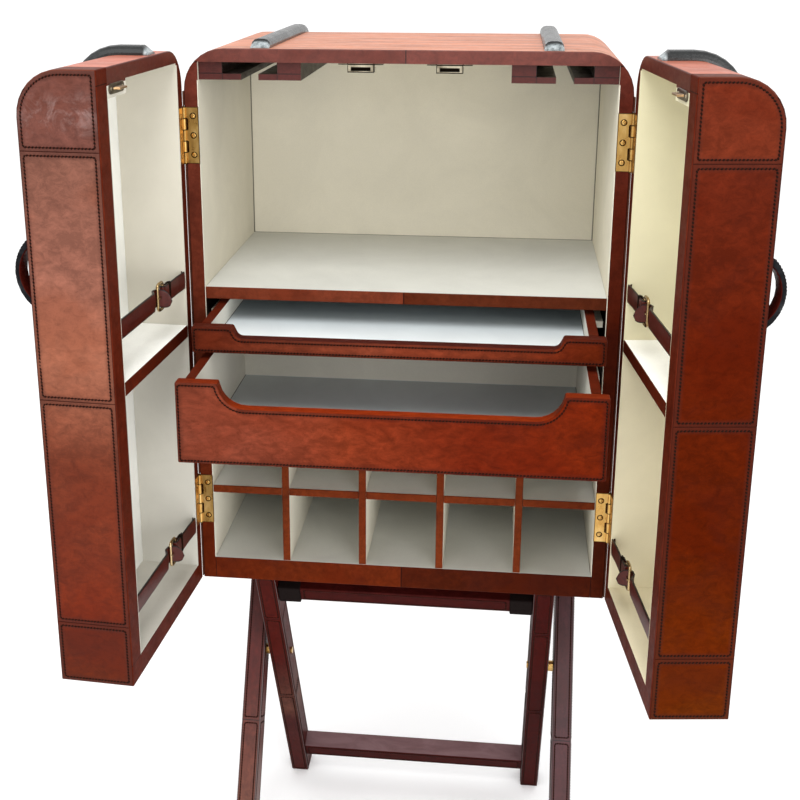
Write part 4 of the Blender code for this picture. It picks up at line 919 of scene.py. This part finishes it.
def hide_sheet(name, place, columns, rows, material, proud=0.0009, rim=0.0016):
    """A thin sheet of hide on a face: place(u, v) gives its point, normal and edge distance."""
    bpy.ops.object.select_all(action="DESELECT")
    bpy.ops.mesh.primitive_grid_add(x_subdivisions=columns, y_subdivisions=rows, size=1)
    sheet = bpy.context.object
    sheet.name = name
    edges = []
    for vertex in sheet.data.vertices:
        u = (1 - math.cos(math.pi * (vertex.co.x + 0.5))) / 2
        v = (1 - math.cos(math.pi * (vertex.co.y + 0.5))) / 2
        point, normal, edge = place(u, v)
        share = min(1.0, edge / rim)
        vertex.co = point + normal * (proud * math.sqrt(1 - (1 - share) ** 2) + 0.00025)
        edges.append(edge)
    sheet.data.attributes.new("edge", "FLOAT", "POINT").data.foreach_set("value", edges)
    thickened(sheet, 0.0006)
    bpy.ops.object.shade_smooth()
    cover(sheet, material)
    return sheet


def settle(piece, matrix, body, slot):
    """Places a piece that was made in a door's own measures."""
    piece.data.transform(matrix)
    if matrix.determinant() < 0:
        piece.data.flip_normals()
    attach(piece, body)


def outer_limit(z):
    """How deep a door is at a height, where its face's top edge is rounded."""
    rise = z - (SEAMS[-1] - END_ROUNDING)
    if rise <= 0:
        return DOOR_DEPTH
    return DOOR_DEPTH - END_ROUNDING + math.sqrt(max(0.0, END_ROUNDING**2 - rise**2))


door_places = {}
for label, side, crown_sheen_tone, upper_cloth, lower_cloth, face_cloth in (
    ("left", -1, (178, 102, 82), (203, 198, 184), (200, 197, 187), (246, 246, 240)),
    ("right", 1, (170, 96, 74), (216, 209, 177), (228, 219, 190), (240, 236, 218)),
):
    body = f"{label}_door"
    to_scene = door_places[label] = door_place(label, side)
    measures = door_measures(label, side)
    shell = Finish(f"{body}_hide_and_lining", **measures)
    shell_hide = hide_look(shell, HIDE, 6.0, stretch=(1, 1, 1.3))
    edging = shell.near(shell.y, -STRIP_PROUD, STRIP_PROUD + STRIP_DEPTH)
    edging_tone = hide_look(shell, (84, 30, 16), 9.0, 0.3)[0]
    edging_joint = shell.any_of(
        shell.near(shell.z, CEILING, 0.0006), shell.near(shell.z, DOOR_FLOOR, 0.0004)
    )
    wall_half = (DOOR_WALLS[1] - DOOR_WALLS[0]) / 2
    ends_only = shell.without(shell.near(shell.x, sum(DOOR_WALLS) / 2, wall_half + 0.00025))
    edging_tone = shell.mix(shell.all_of(edging_joint, ends_only), edging_tone, DARK_HIDE)
    # Painted sheen: the crown, the door's top, is painted a lighter hide with pale streaks,
    # standing for the light on its waxed surface.
    crown = shell.over(shell.z, TRUNK_TOP - 0.008)
    crown_sheen_streaks = shell.clouds(26, 5, 0.65, 0.4, (1, 0.4, 1))
    crown_tone = shell.scaled(crown_sheen_tone, shell.span(crown_sheen_streaks, 0.35, 0.65, 0.84, 1.14))
    shell_tone = shell.mix(edging, shell.mix(crown, shell_hide[0], crown_tone), edging_tone)
    welt = shell.within((DOOR_WALLS[1], STRIP_DEPTH, -0.001), (0.31, 0.11, 0.81))
    shell_tone = shell.mix(shell.maths("MULTIPLY", welt, 0.8), shell_tone, (46, 22, 18))
    door_lined = shell.any_of(
        shell.within(
            (DOOR_WALLS[0] - STRIP_DEPTH, -0.002, DOOR_FLOOR - 0.0004),
            (DOOR_WALLS[1] + STRIP_DEPTH, DOOR_CAVITY + 0.0003, CEILING - 0.003),
        ),
        shell.within(
            (DOOR_WALLS[0] - 0.0003, STRIP_DEPTH, CEILING - 0.003),
            (DOOR_WALLS[1] + 0.0003, DOOR_CAVITY + 0.0003, CEILING + 0.0004),
        ),
    )
    beyond_centre = [
        shell.maths("MAXIMUM", shell.maths("SUBTRACT", level, edge - END_ROUNDING), 0)
        for level, edge in ((shell.y, DOOR_DEPTH), (shell.z, SEAMS[-1]))
    ]
    under_crown = shell.under(shell.distance(*beyond_centre), END_ROUNDING - 0.0008)
    door_lined = shell.all_of(door_lined, under_crown)
    # Painted shade: the walls' cloth, lower and upper, is darker than the face board's cloth, and
    # greyer still in the left door.
    cloth = shell.mix(shell.span(shell.z, 0.36, 0.44), lower_cloth, upper_cloth)
    cloth = shell.mix(shell.over(shell.y, DOOR_CAVITY - 0.0006), cloth, face_cloth)
    material = covered(shell, (shell_tone, *shell_hide[1:]), door_lined, cloth)
    for part in ("face", "free_side", "hinge_side", "bottom"):
        dress(f"{body}_{part}", material)
    dress(f"{body}_top", polished(material, f"{body}_top_hide_and_lining"))
    board = Finish(f"{body}_shelf_finish", **measures)
    board_hide = hide_look(board, (84, 30, 16), 9.0, 0.3)
    board_lined = board.over(board.y, STRIP_DEPTH)
    # Painted light: the door shelves' cloth is near white, much lighter than the case shelf's, for
    # the strong light on them.
    dress(f"{body}_shelf", covered(board, board_hide, board_lined, (253, 253, 248)))
    dress(f"{body}_slat", black_slats(f"{body}_slat_hide", **measures))

    end = Finish(f"{body}_end_hide", **measures)
    dye = end.ramp(end.span(end.z, 0, SEAMS[-1]), end_dyes_and_sheen[label])
    dye, roughness, relief = hide_look(end, dye, 7.0, stretch=(1, 1, 1.5))
    # Painted highlight: pale pink-grey patches on the left door's top panel stand for the sheen of
    # light on its waxed hide.
    if label == "left":
        painted_sheen = end.span(end.clouds(30, 6, 0.7, 1.0), 0.46, 0.66, 0, 0.3)
        near_sheen_level = end.span(end.away(end.z, SHEEN_LEVEL), 0, 0.030, 1, 0)
        dye = end.mix(end.maths("MULTIPLY", painted_sheen, near_sheen_level), dye, (184, 160, 156))
    distance = end.add("ShaderNodeAttribute", attribute_name="edge").outputs["Fac"]
    dye = end.mix(end.span(distance, 0.0040, 0.0095, 0.5, 0), dye, (58, 30, 24))
    end_material = end.wire(dye, roughness, relief, 0.0006)
    end.shader.inputs["Specular IOR Level"].default_value = 0.08 if label == "left" else 0.01
    rows = []
    for number, (low, high) in enumerate(zip(SEAMS, SEAMS[1:]), 1):
        topmost = high == SEAMS[-1]
        low_edge = low + (0.0004 if low else SHEET_MARGIN)
        high_edge = high - (SHEET_MARGIN if topmost else 0.0004)
        rounding = END_ROUNDING - SHEET_MARGIN

        def end_point(u, v):
            z = low_edge + (high_edge - low_edge) * v
            far = outer_limit(z + SHEET_MARGIN if topmost else z) - SHEET_MARGIN
            b = SHEET_MARGIN + (far - SHEET_MARGIN) * u
            across = far - b
            rise = z - (SEAMS[-1] - END_ROUNDING)
            run = b - (DOOR_DEPTH - END_ROUNDING)
            if topmost and rise > 0 and run > 0:
                across = rounding - math.hypot(run, rise)
            edge = max(0.0, min(b - SHEET_MARGIN, z - low_edge, high_edge - z, across))
            swell = noise.noise(Vector((b * 14, z * 9, number + side * 7.3))) * 0.0004
            if label == "left" and number == 3:
                ridge = z - (CREASE_LEVELS[0] + 0.010 * math.sin(b * 52))
                swell += 0.0013 * math.exp(-((ridge / 0.006) ** 2)) * min(1.0, b / 0.02)
                ridge = z - (CREASE_LEVELS[1] + 0.3 * (0.05 - b))
                swell -= 0.0008 * math.exp(-((ridge / 0.005) ** 2))
            fade_in = min(1.0, edge / 0.008)
            return Vector((DOOR_WIDTH + swell * fade_in, b, z)), Vector((1, 0, 0)), edge

        count = max(36, round((high - low) / 0.0032))
        sheet = hide_sheet(f"{body}_end_panel_{number}", end_point, 40, count, end_material)
        settle(sheet, to_scene, body, "brown_leather")
        radii = (0, 0, rounding if topmost else 0, 0)
        far_corner = (DOOR_DEPTH - SHEET_MARGIN, high_edge)
        outline = oblong((SHEET_MARGIN, low_edge), far_corner, radii, 14)
        places = [Vector((DOOR_WIDTH + PROUD_OF_END, b, z)) for b, z in inset(outline, 0.0045)]
        rows.append(([to_scene @ place for place in places], faced(to_scene, 1, 0, 0), True))
    sewn(f"{body}_end_stitching", rows, body)
    rows = []
    for low, high in zip(SEAMS, (*SEAMS[1:4], COVER_TOP)):
        for length, to_point, direction in (
            (DOOR_WIDTH, lambda u, v: to_scene @ Vector((u, DOOR_DEPTH, v)), (0, 1, 0)),
            (DOOR_DEPTH, lambda u, v: to_scene @ Vector((0, u, v)), (-1, 0, 0)),
        ):
            rows.append(panel_row(0, length, low, high, to_point, faced(to_scene, *direction)))
    sewn(f"{body}_cover_stitching", rows, body)

# The piping: a slim bead of dark hide glued along each side of the case at its front edge, cut
# at the hinges. It fills the joint between the case and its doors, and clears them when open.
piping = Finish("dark_piping_hide")
piping.wire(*hide_look(piping, (84, 50, 38), 30, 0.3, 0.25))
PIPING_SECTION = (0.00195, 0.0046)
PIPING_PLACE = (0.00092, 0.0007)
PIPING_SPANS = ((0.0030, 0.0925), (0.1735, 0.6435), (0.7245, 0.7450))


def joined(name, pieces):
    """One object of several."""
    bpy.ops.object.select_all(action="DESELECT")
    for piece in pieces:
        piece.select_set(True)
    bpy.context.view_layer.objects.active = pieces[0]
    bpy.ops.object.join()
    pieces[0].name = name
    return pieces[0]


for label, side in (("left", -1), ("right", 1)):
    beads = []
    for low, high in PIPING_SPANS:
        bpy.ops.object.select_all(action="DESELECT")
        bpy.ops.mesh.primitive_cube_add(size=1, location=(0, 0, 0))
        bead = bpy.context.object
        bpy.ops.object.mode_set(mode="EDIT")
        bpy.ops.mesh.select_all(action="SELECT")
        bpy.ops.transform.resize(value=(*PIPING_SECTION, high - low), center_override=(0, 0, 0))
        bpy.ops.mesh.bevel(offset=0.0006, segments=3)
        bpy.ops.object.mode_set(mode="OBJECT")
        across = side * (TRUNK_HALF + PIPING_PLACE[0])
        middle = Vector((across, PIPING_PLACE[1], (low + high) / 2))
        bead.data.transform(Matrix.Translation(TRUNK + middle))
        bpy.ops.object.shade_smooth_by_angle(angle=math.radians(40))
        cover(bead, piping.material)
        beads.append(bead)
    bead = joined(f"{label}_joint_piping", beads)
    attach(bead, "trunk")

# The hinges: knuckled brass leaves let into the front edges, each held by three slotted screws.
LEAF_PLANE = -0.0004
SCREW_RADIUS = 0.0031
SCREW_RISE = 0.027
SINK_RADIUS = 0.0038
CASE_SCREWS = 0.2935
DOOR_SCREWS = 0.0105
HINGE_LEVELS = (0.684, 0.133)
LEAF_HALF = 0.0383
KNUCKLE_HALF = 0.0078
LINE_HALF = 0.0007
BRASS_TONES = ((0.3, (162, 118, 58)), (0.55, (198, 158, 92)), (0.75, (228, 196, 136)))


def brass_finish(name, tones=BRASS_TONES, **corner):
    finish = Finish(name, **corner)
    finish.shader.inputs["Metallic"].default_value = 1
    wear = finish.clouds(70, 5, 0.55, 0.3, (1, 1, 0.4))
    return finish, wear, finish.ramp(wear, tones)


def leaf_brass(name, edge, screw_place, gap, gap_beside_ends, **corner):
    """Brass with dark lines painted as shade: round the leaf's outline, at the knuckles' joints,
    round the screws' countersinks and in the gaps beside the knuckles.
    """
    finish, wear, colour = brass_finish(name, **corner)
    across = finish.maths("ABSOLUTE", finish.x)
    rise = finish.maths("MINIMUM", *[finish.away(finish.z, level) for level in HINGE_LEVELS])
    from_screw = finish.maths("MINIMUM", rise, finish.away(rise, SCREW_RISE))
    off_screw = finish.maths("SUBTRACT", across, screw_place)
    countersink_shade = finish.near(finish.distance(off_screw, from_screw), SINK_RADIUS, LINE_HALF)
    joints = finish.all_of(
        finish.any_of(*[finish.near(rise, n * KNUCKLE_HALF, LINE_HALF) for n in (1, 3)]),
        finish.without(finish.near(across, screw_place, abs(gap - screw_place))),
    )
    middle_band = finish.near(rise, 2 * KNUCKLE_HALF, KNUCKLE_HALF)
    beside = finish.without(middle_band) if gap_beside_ends else middle_band
    knuckle_gap_shade = finish.all_of(finish.near(across, gap, 0.0012), beside)
    outline = finish.any_of(finish.over(rise, LEAF_HALF), finish.near(across, edge, LINE_HALF))
    # All these dark lines are painted shade in the leaf's recesses and gaps.
    dark = finish.any_of(countersink_shade, joints, knuckle_gap_shade, finish.maths("MULTIPLY", outline, 0.8))
    colour = finish.mix(dark, colour, (44, 24, 10))
    return finish.wire(colour, finish.span(wear, 0.3, 0.7, 0.22, 0.36), wear, 0.00008)


brass, brass_wear, brass_colour = brass_finish("aged_brass")
brass_shine = brass.span(brass_wear, 0.3, 0.7, 0.2, 0.36)
brass_material = brass.wire(brass_colour, brass_shine, brass_wear, 0.00008)
case_leaf = leaf_brass("case_hinge_brass", 0.2859, CASE_SCREWS, 0.3015, False, origin=TRUNK)
case_heads = []
for label, side in (("left", -1), ("right", 1)):
    body = f"{label}_door"
    to_scene = door_places[label]
    measures = door_measures(label, side)
    door_leaf = leaf_brass(f"{body}_hinge_brass", 0.0176, DOOR_SCREWS, 0.0030, True, **measures)
    for place in ("upper", "lower"):
        dress(f"{label}_{place}_case_hinge", case_leaf)
        dress(f"{label}_{place}_door_hinge", door_leaf)
    door_heads = []
    for level in HINGE_LEVELS:
        for number, rise in enumerate((-SCREW_RISE, 0.0, SCREW_RISE)):
            turn = 0.5 + 1.1 * number + side * 0.4 + level
            spot = Vector((side * CASE_SCREWS, LEAF_PLANE + 0.0004, level + rise))
            case_heads.append((TRUNK + spot, Vector((0, -1, 0)), turn))
            spot = Vector((DOOR_SCREWS, LEAF_PLANE + 0.0004, level + rise))
            door_heads.append((to_scene @ spot, faced(to_scene, 0, -1, 0), turn + 0.7))
    screwed(f"{body}_hinge_screws", door_heads, SCREW_RADIUS, brass_material, body)
screwed("case_hinge_screws", case_heads, SCREW_RADIUS, brass_material, "trunk")

# The straps: a length of dark hide from each side board. One folds round the buckle's heel bar,
# the other goes under its front bar and over that fold, and ends in a round tip that curls out.
STRAP_HALF = 0.0125
STRAP_THICKNESS = 0.0022
STRAP_LEVELS = (0.4812, 0.0975)
FOLD_PATH = (
    (0.0145, 0.0020, 0),
    (0.045, 0.0036, 0.010),
    (0.1015, 0.0041, 0.0033),
    (0.1015, 0.0109, 0.0033),
    (0.091, 0.0109, 0.003),
    (0.085, 0.0067, 0.003),
    (0.070, 0.0065, 0),
)
TIP_PATH = (
    (0.278, 0.0055, 0),
    (0.136, 0.0055, 0.010),
    (0.128, 0.0115, 0.006),
    (0.114, 0.0115, 0.006),
    (0.1075, 0.0040, 0.004),
    (0.1030, -0.0072, 0),
)
BUCKLE_SPAN = (0.098, 0.118)
BUCKLE_DEPTH = 0.0075
BUCKLE_HALF = 0.0183
WIRE_RADIUS = 0.0022
KEEPER_PLACE = 0.081
PRONG_PLACE = (0.1085, 0.0058)
BUCKLE_TONES = ((0.3, (120, 96, 60)), (0.55, (176, 150, 108)), (0.75, (220, 202, 166)))
strap = Finish("dark_strap_hide")
buckle, buckle_wear, buckle_tone = brass_finish("old_buckle_brass", BUCKLE_TONES)
buckle_material = buckle.wire(buckle_tone, 0.26, buckle_wear, 0.00008)
strap_look = hide_look(strap, (76, 24, 15), 20, 0.3, 0.25)
strap_edge = strap.add("ShaderNodeAttribute", attribute_name="edge").outputs["Fac"]
strap_tone = strap.mix(strap.span(strap_edge, 0.0008, 0.0019, 0.9, 0), strap_look[0], (12, 8, 8))
strap.shader.inputs["Specular IOR Level"].default_value = 0.2
strap_material = strap.wire(strap_tone, 0.34, strap_look[2])


def ribbon(name, corners, tip, columns=72):
    """A flat length of hide along a path in a door's measures, with a round tip if it has one."""
    path = turned_path(corners, 6, closed=False)
    length = path_length(path)
    stations = [spot for _, _, spot, _ in walk(path, columns)]
    bpy.ops.object.select_all(action="DESELECT")
    bpy.ops.mesh.primitive_grid_add(x_subdivisions=columns, y_subdivisions=8, size=1)
    piece = bpy.context.object
    piece.name = name
    edges = []
    for vertex in piece.data.vertices:
        index = round((vertex.co.x + 0.5) * columns)
        to_end = length * (1 - index / columns)
        half = STRAP_HALF
        if tip and to_end < STRAP_HALF:
            half = math.sqrt(max(1e-8, STRAP_HALF**2 - (STRAP_HALF - to_end) ** 2))
        across = vertex.co.y * 2
        droop = 0.007 * max(0.0, 1 - to_end / 0.034) ** 2 if tip else 0.0
        edges.append(min(half * (1 - abs(across)), to_end) if tip else half * (1 - abs(across)))
        cup = 0.0006 * (1 - across**2)
        vertex.co = (stations[index].x, stations[index].y - cup, across * half - droop)
    piece.data.attributes.new("edge", "FLOAT", "POINT").data.foreach_set("value", edges)
    thickened(piece, STRAP_THICKNESS, 0)
    rounded(piece, 0.0005, 2, 55)
    faces_outwards(0.00001)
    bpy.ops.object.shade_smooth_by_angle(angle=math.radians(40))
    cover(piece, strap_material)
    return piece


def wire_loop(name, outline, depth, radius, material, count=64):
    """A round wire bent to a closed outline in the plane of the strap: a torus laid along it."""
    bpy.ops.object.select_all(action="DESELECT")
    bpy.ops.mesh.primitive_torus_add(
        major_segments=count, minor_segments=12, major_radius=1, minor_radius=radius
    )
    loop = bpy.context.object
    loop.name = name
    stations = [(spot, heading) for _, _, spot, heading in walk([*outline, outline[0]], count)]
    for vertex in loop.data.vertices:
        turn = math.atan2(vertex.co.y, vertex.co.x) % (2 * math.pi)
        spot, heading = stations[round(turn / (2 * math.pi) * count) % count]
        out = math.hypot(vertex.co.x, vertex.co.y) - 1
        place = spot + Vector((heading.y, -heading.x)) * out
        vertex.co = (place.x, depth + vertex.co.z, place.y)
    faces_outwards()
    bpy.ops.object.shade_smooth()
    cover(loop, material)
    return loop


def keeper_loop(name, level, count=64):
    """The strap's keeper: a band of black hide bent round both its lengths."""
    edge = STRAP_HALF + 0.0012
    path = oblong((0.0, -edge), (0.0064, edge), (0.0015,) * 4, 4)
    stations = [spot for _, _, spot, _ in walk([*path, path[0]], count)]
    bpy.ops.object.select_all(action="DESELECT")
    bpy.ops.mesh.primitive_grid_add(x_subdivisions=count, y_subdivisions=3, size=1)
    band = bpy.context.object
    band.name = name
    for vertex in band.data.vertices:
        spot = stations[round((vertex.co.x + 0.5) * count)]
        vertex.co = (KEEPER_PLACE + vertex.co.y * 0.007, 0.0021 + spot.x, spot.y + level)
    faces_outwards(0.00001)
    thickened(band, 0.0012)
    bpy.ops.object.shade_smooth_by_angle(angle=math.radians(40))
    cover(band, slot_shade_and_keeper_black.material)
    return band


for label in ("left", "right"):
    for place, level in zip(("upper", "lower"), STRAP_LEVELS):
        name = f"{label}_door_{place}_strap"
        fixed = ribbon(f"{name}_fold", FOLD_PATH, False)
        free = ribbon(f"{name}_tip", TIP_PATH, True)
        leather = joined(f"{name}_hide", [fixed, free])
        leather.data.transform(Matrix.Translation((0, 0, level)))
        keeper = keeper_loop(f"{name}_keeper", level)
        low = (BUCKLE_SPAN[0], level - BUCKLE_HALF)
        high = (BUCKLE_SPAN[1], level + BUCKLE_HALF)
        outline = oblong(low, high, (0.004, 0.006, 0.006, 0.004), 6)
        ring = wire_loop(f"{name}_buckle", outline, BUCKLE_DEPTH, WIRE_RADIUS, buckle_material)
        bpy.ops.object.select_all(action="DESELECT")
        bpy.ops.mesh.primitive_cylinder_add(
            vertices=10, radius=0.0013, depth=0.0225, location=(0, 0, 0)
        )
        prong = bpy.context.object
        laid = Matrix.Translation((*PRONG_PLACE, level)) @ Matrix.Rotation(-0.12, 4, "Z")
        prong.data.transform(laid @ Matrix.Rotation(math.pi / 2, 4, "Y"))
        bpy.ops.object.shade_smooth_by_angle(angle=math.radians(40))
        cover(prong, buckle_material)
        ring = joined(f"{name}_buckle", [ring, prong])
        for piece, slot in ((leather, "strap_leather"), (keeper, "strap_leather"), (ring, "brass")):
            settle(piece, door_places[label], f"{label}_door", slot)
            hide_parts(name)

# The handles: bowed grips of black hide on the doors' faces, lined with red-brown hide inside
# and sewn along both edges. The strikes are plates with a brass tongue that enters the catch.
HANDLE_LEVEL = 0.558
HANDLE_CENTRE = 0.2845
HANDLE_DEPTH = 0.0725
LINING_RADIUS = 0.0446
SEAM_DEPTH = 0.06703
SEAM_RADIUS = 0.0557
SEAM_OFFSET = 0.0085
STRIKE_PLACE = 0.245
STRIKE_SPREAD = 0.0185
for label, side in (("left", -1), ("right", 1)):
    to_scene = door_places[label]
    body = f"{label}_door"
    measures = door_measures(label, side)
    grip = Finish(f"{body}_handle_hide", **measures)
    grip_wear = grip.clouds(60, 6, 0.68, 0.4)
    black = grip.ramp(grip_wear, ((0.35, (12, 12, 14)), (0.6, (30, 30, 32)), (0.8, (80, 82, 84))))
    red = hide_look(grip, (66, 18, 12), 30, 0.2)[0]
    reach = grip.distance(grip.away(grip.y, HANDLE_DEPTH), grip.away(grip.z, HANDLE_LEVEL))
    grip_tone = grip.mix(grip.under(reach, LINING_RADIUS), black, red)
    grip_material = grip.wire(grip_tone, 0.34, grip.clouds(420), 0.0004)
    refined(f"{body}_handle", 0.0018, 3, grip_material, body)
    rows = []
    for across in (-SEAM_OFFSET, SEAM_OFFSET):
        points = []
        normals = []
        for step in range(17):
            angle = math.radians(46) * (step / 8 - 1)
            out = Vector((0, math.cos(angle), math.sin(angle)))
            place = Vector((HANDLE_CENTRE + across, SEAM_DEPTH, HANDLE_LEVEL))
            points.append(to_scene @ (place + out * SEAM_RADIUS))
            normals.append(faced(to_scene, *out))
        rows.append((points, normals, False))
    sewn(f"{body}_handle_stitching", rows, body)
    plate = Finish(f"{body}_strike_metal", **measures)
    plate_wear = plate.clouds(90, 5, 0.6, 0.3)
    plate_tone = plate.ramp(plate_wear, ((0.3, (60, 54, 46)), (0.7, (126, 116, 98))))
    tongue_tone = plate.ramp(plate_wear, ((0.3, (120, 92, 62)), (0.7, (196, 160, 118))))
    tongue = plate.under(plate.y, -0.0019)
    plate_material = plate.wire(plate.mix(tongue, plate_tone, tongue_tone), 0.3, plate_wear, 0.0001)
    plate.shader.inputs["Metallic"].default_value = 1
    refined(f"{body}_strike", 0.0003, 1, plate_material, body)
    heads = []
    for ear in (-1, 1):
        spot = Vector((STRIKE_PLACE + ear * STRIKE_SPREAD, -0.0016, CEILING - 0.0076))
        heads.append((to_scene @ spot, faced(to_scene, 0, -1, 0), 0.8 * ear))
    screwed(f"{body}_strike_screws", heads, 0.0022, nickel_material, body)

# The stand: two frames of hide-covered bars, sewn along every edge, that cross on a brass bolt
# a side. The ends of the top rails are cased in black webbing, which joins the two frames.
LEG_TILT = 27.1
PIVOT = TRUNK + Vector((0, 0.182, -0.233))
LEG_HALF = (0.016, 0.0225)
LEG_SPAN = (-0.394, 0.246)
LEG_SEAMS = (-0.118, 0.128)
RAILS = ((0.196, 0.016, 0.037), (-0.328, 0.0165, 0.001))
# Partly painted sheen: the inner frame's lighter grey-brown band below the pivot, and the mauve
# tone of the outer frame's right leg, stand for the sheen of light on the waxed hide; the rest is
# dye.
INNER_DYES_AND_SHEEN = ((0.3, (70, 30, 28)), (0.36, (92, 56, 46)), (0.62, (72, 20, 15)))
OUTER_DYES = ((0.1, (112, 68, 52)), (0.9, (80, 22, 16)))
for label, tilt, leg_middle, reach, gloss, right_dye_and_sheen, dye_top, left_dyes_and_sheen in (
    ("inner", LEG_TILT, 0.220, 0.2037, 0.02, (60, 14, 11), 0.24, INNER_DYES_AND_SHEEN),
    ("outer", -LEG_TILT, 0.262, 0.2457, 0.35, (70, 34, 38), 0.0, OUTER_DYES),
):
    place = Matrix.Translation(PIVOT) @ Matrix.Rotation(math.radians(tilt), 4, "X")
    bar = Finish(f"stand_{label}_hide", PIVOT, (math.radians(tilt), 0, 0))
    bar.shader.inputs["Specular IOR Level"].default_value = gloss
    left_dye_and_sheen = bar.ramp(bar.span(bar.z, -0.39, dye_top), left_dyes_and_sheen)
    bar_dye_and_sheen = bar.mix(bar.under(bar.x, 0), right_dye_and_sheen, left_dye_and_sheen)
    bar_look = hide_look(bar, bar_dye_and_sheen, 14.0, 0.3, 0.25, (1, 1, 0.6))
    off_middle = bar.maths("ABSOLUTE", bar.x)
    on_leg = bar.over(off_middle, leg_middle - LEG_HALF[0] - 0.0002)
    across = bar.away(off_middle, leg_middle)
    deep = bar.maths("ABSOLUTE", bar.y)
    corner, painted_edge_highlight = [
        bar.all_of(on_leg, bar.over(across, LEG_HALF[0] - rim), bar.over(deep, LEG_HALF[1] - rim))
        for rim in (0.0022, 0.0010)
    ]
    seam = bar.all_of(on_leg, bar.any_of(*[bar.near(bar.z, level, 0.0006) for level in LEG_SEAMS]))
    sewn_edge = bar.any_of(seam, bar.maths("MULTIPLY", corner, 0.8))
    bar_tone = bar.mix(sewn_edge, bar_look[0], (22, 12, 12))
    # Painted highlight: the outermost millimetre of the legs' edges is painted pale, for the light
    # caught on the waxed edges.
    bar_tone = bar.mix(bar.maths("MULTIPLY", painted_edge_highlight, 0.8), bar_tone, (124, 100, 98))
    bar_material = bar.wire(bar_tone, *bar_look[1:])
    for part in ("left_leg", "right_leg"):
        dress(f"stand_{label}_{part}", bar_material)
    tie = Finish(f"stand_{label}_rail_hide", PIVOT, (math.radians(tilt), 0, 0))
    tie_look = hide_look(tie, (60, 18, 16), 14.0, 0.3, 0.25, (0.6, 1, 1))
    webbing = tie.within((-0.3, -0.0193, 0.170), (0.3, 0.0193, 0.222))
    webbing = tie.all_of(webbing, tie.over(tie.maths("ABSOLUTE", tie.x), reach - 0.0362))
    weave = tie.add("ShaderNodeTexChecker", {"Vector": tie.spot, "Scale": 900}).outputs["Fac"]
    web_tone = tie.scaled((26, 20, 19), tie.span(weave, 0, 1, 0.6, 1.3))
    # Painted reflection: the lower rail's top face is painted pale mauve in patches, standing for
    # the glare of the sky on it.
    lower_rail_top_glare = tie.all_of(tie.over(tie.z, -0.3124), tie.under(tie.z, -0.2))
    glare_patches = tie.span(tie.clouds(30, 6, 0.7, 1.0, (0.4, 1, 1)), 0.35, 0.65, 0.6, 0.95)
    tie_tone = tie.mix(tie.maths("MULTIPLY", lower_rail_top_glare, glare_patches), tie_look[0], (122, 96, 98))
    tie_tone = tie.mix(webbing, tie_tone, web_tone)
    tie_height = tie.blend(webbing, tie_look[2], weave)
    tie_material = tie.wire(tie_tone, tie.blend(webbing, tie_look[1], 0.85), tie_height)
    for part in ("top_rail", "lower_rail"):
        dress(f"stand_{label}_{part}", tie_material)
    rows = []
    turned = place.to_3x3()
    for side in (-1, 1):
        middle = side * leg_middle
        for low, high in zip((LEG_SPAN[0],) + LEG_SEAMS, LEG_SEAMS + (LEG_SPAN[1],)):
            for face in (-1, 1):
                at_face = lambda u, v: place @ Vector((u, face * LEG_HALF[1], v))
                normal = turned @ Vector((0, face, 0))
                ends = (middle - LEG_HALF[0], middle + LEG_HALF[0])
                rows.append(panel_row(*ends, low, high, at_face, normal))
                if high < LEG_SPAN[1]:
                    at_side = lambda u, v: place @ Vector((middle + face * LEG_HALF[0], u, v))
                    normal = turned @ Vector((face, 0, 0))
                    ends = (-LEG_HALF[1], LEG_HALF[1])
                    rows.append(panel_row(*ends, low, high, at_side, normal))
    for level, depth, margin in RAILS:
        for face in (-1, 1):
            at_rail = lambda u, v: place @ Vector((u, face * depth, v))
            normal = turned @ Vector((0, face, 0))
            ends = (margin - reach, reach - margin)
            rows.append(panel_row(*ends, level - 0.016, level + 0.016, at_rail, normal))
    sewn(f"stand_{label}_stitching", rows, f"stand_{label}_frame")
for side in ("left", "right"):
    dress(f"{side}_pivot_bolt", brass_material)

low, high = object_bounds()
sizes = {"cad": [list(cad_low), list(cad_high)], "visual": [list(low), list(high)]}
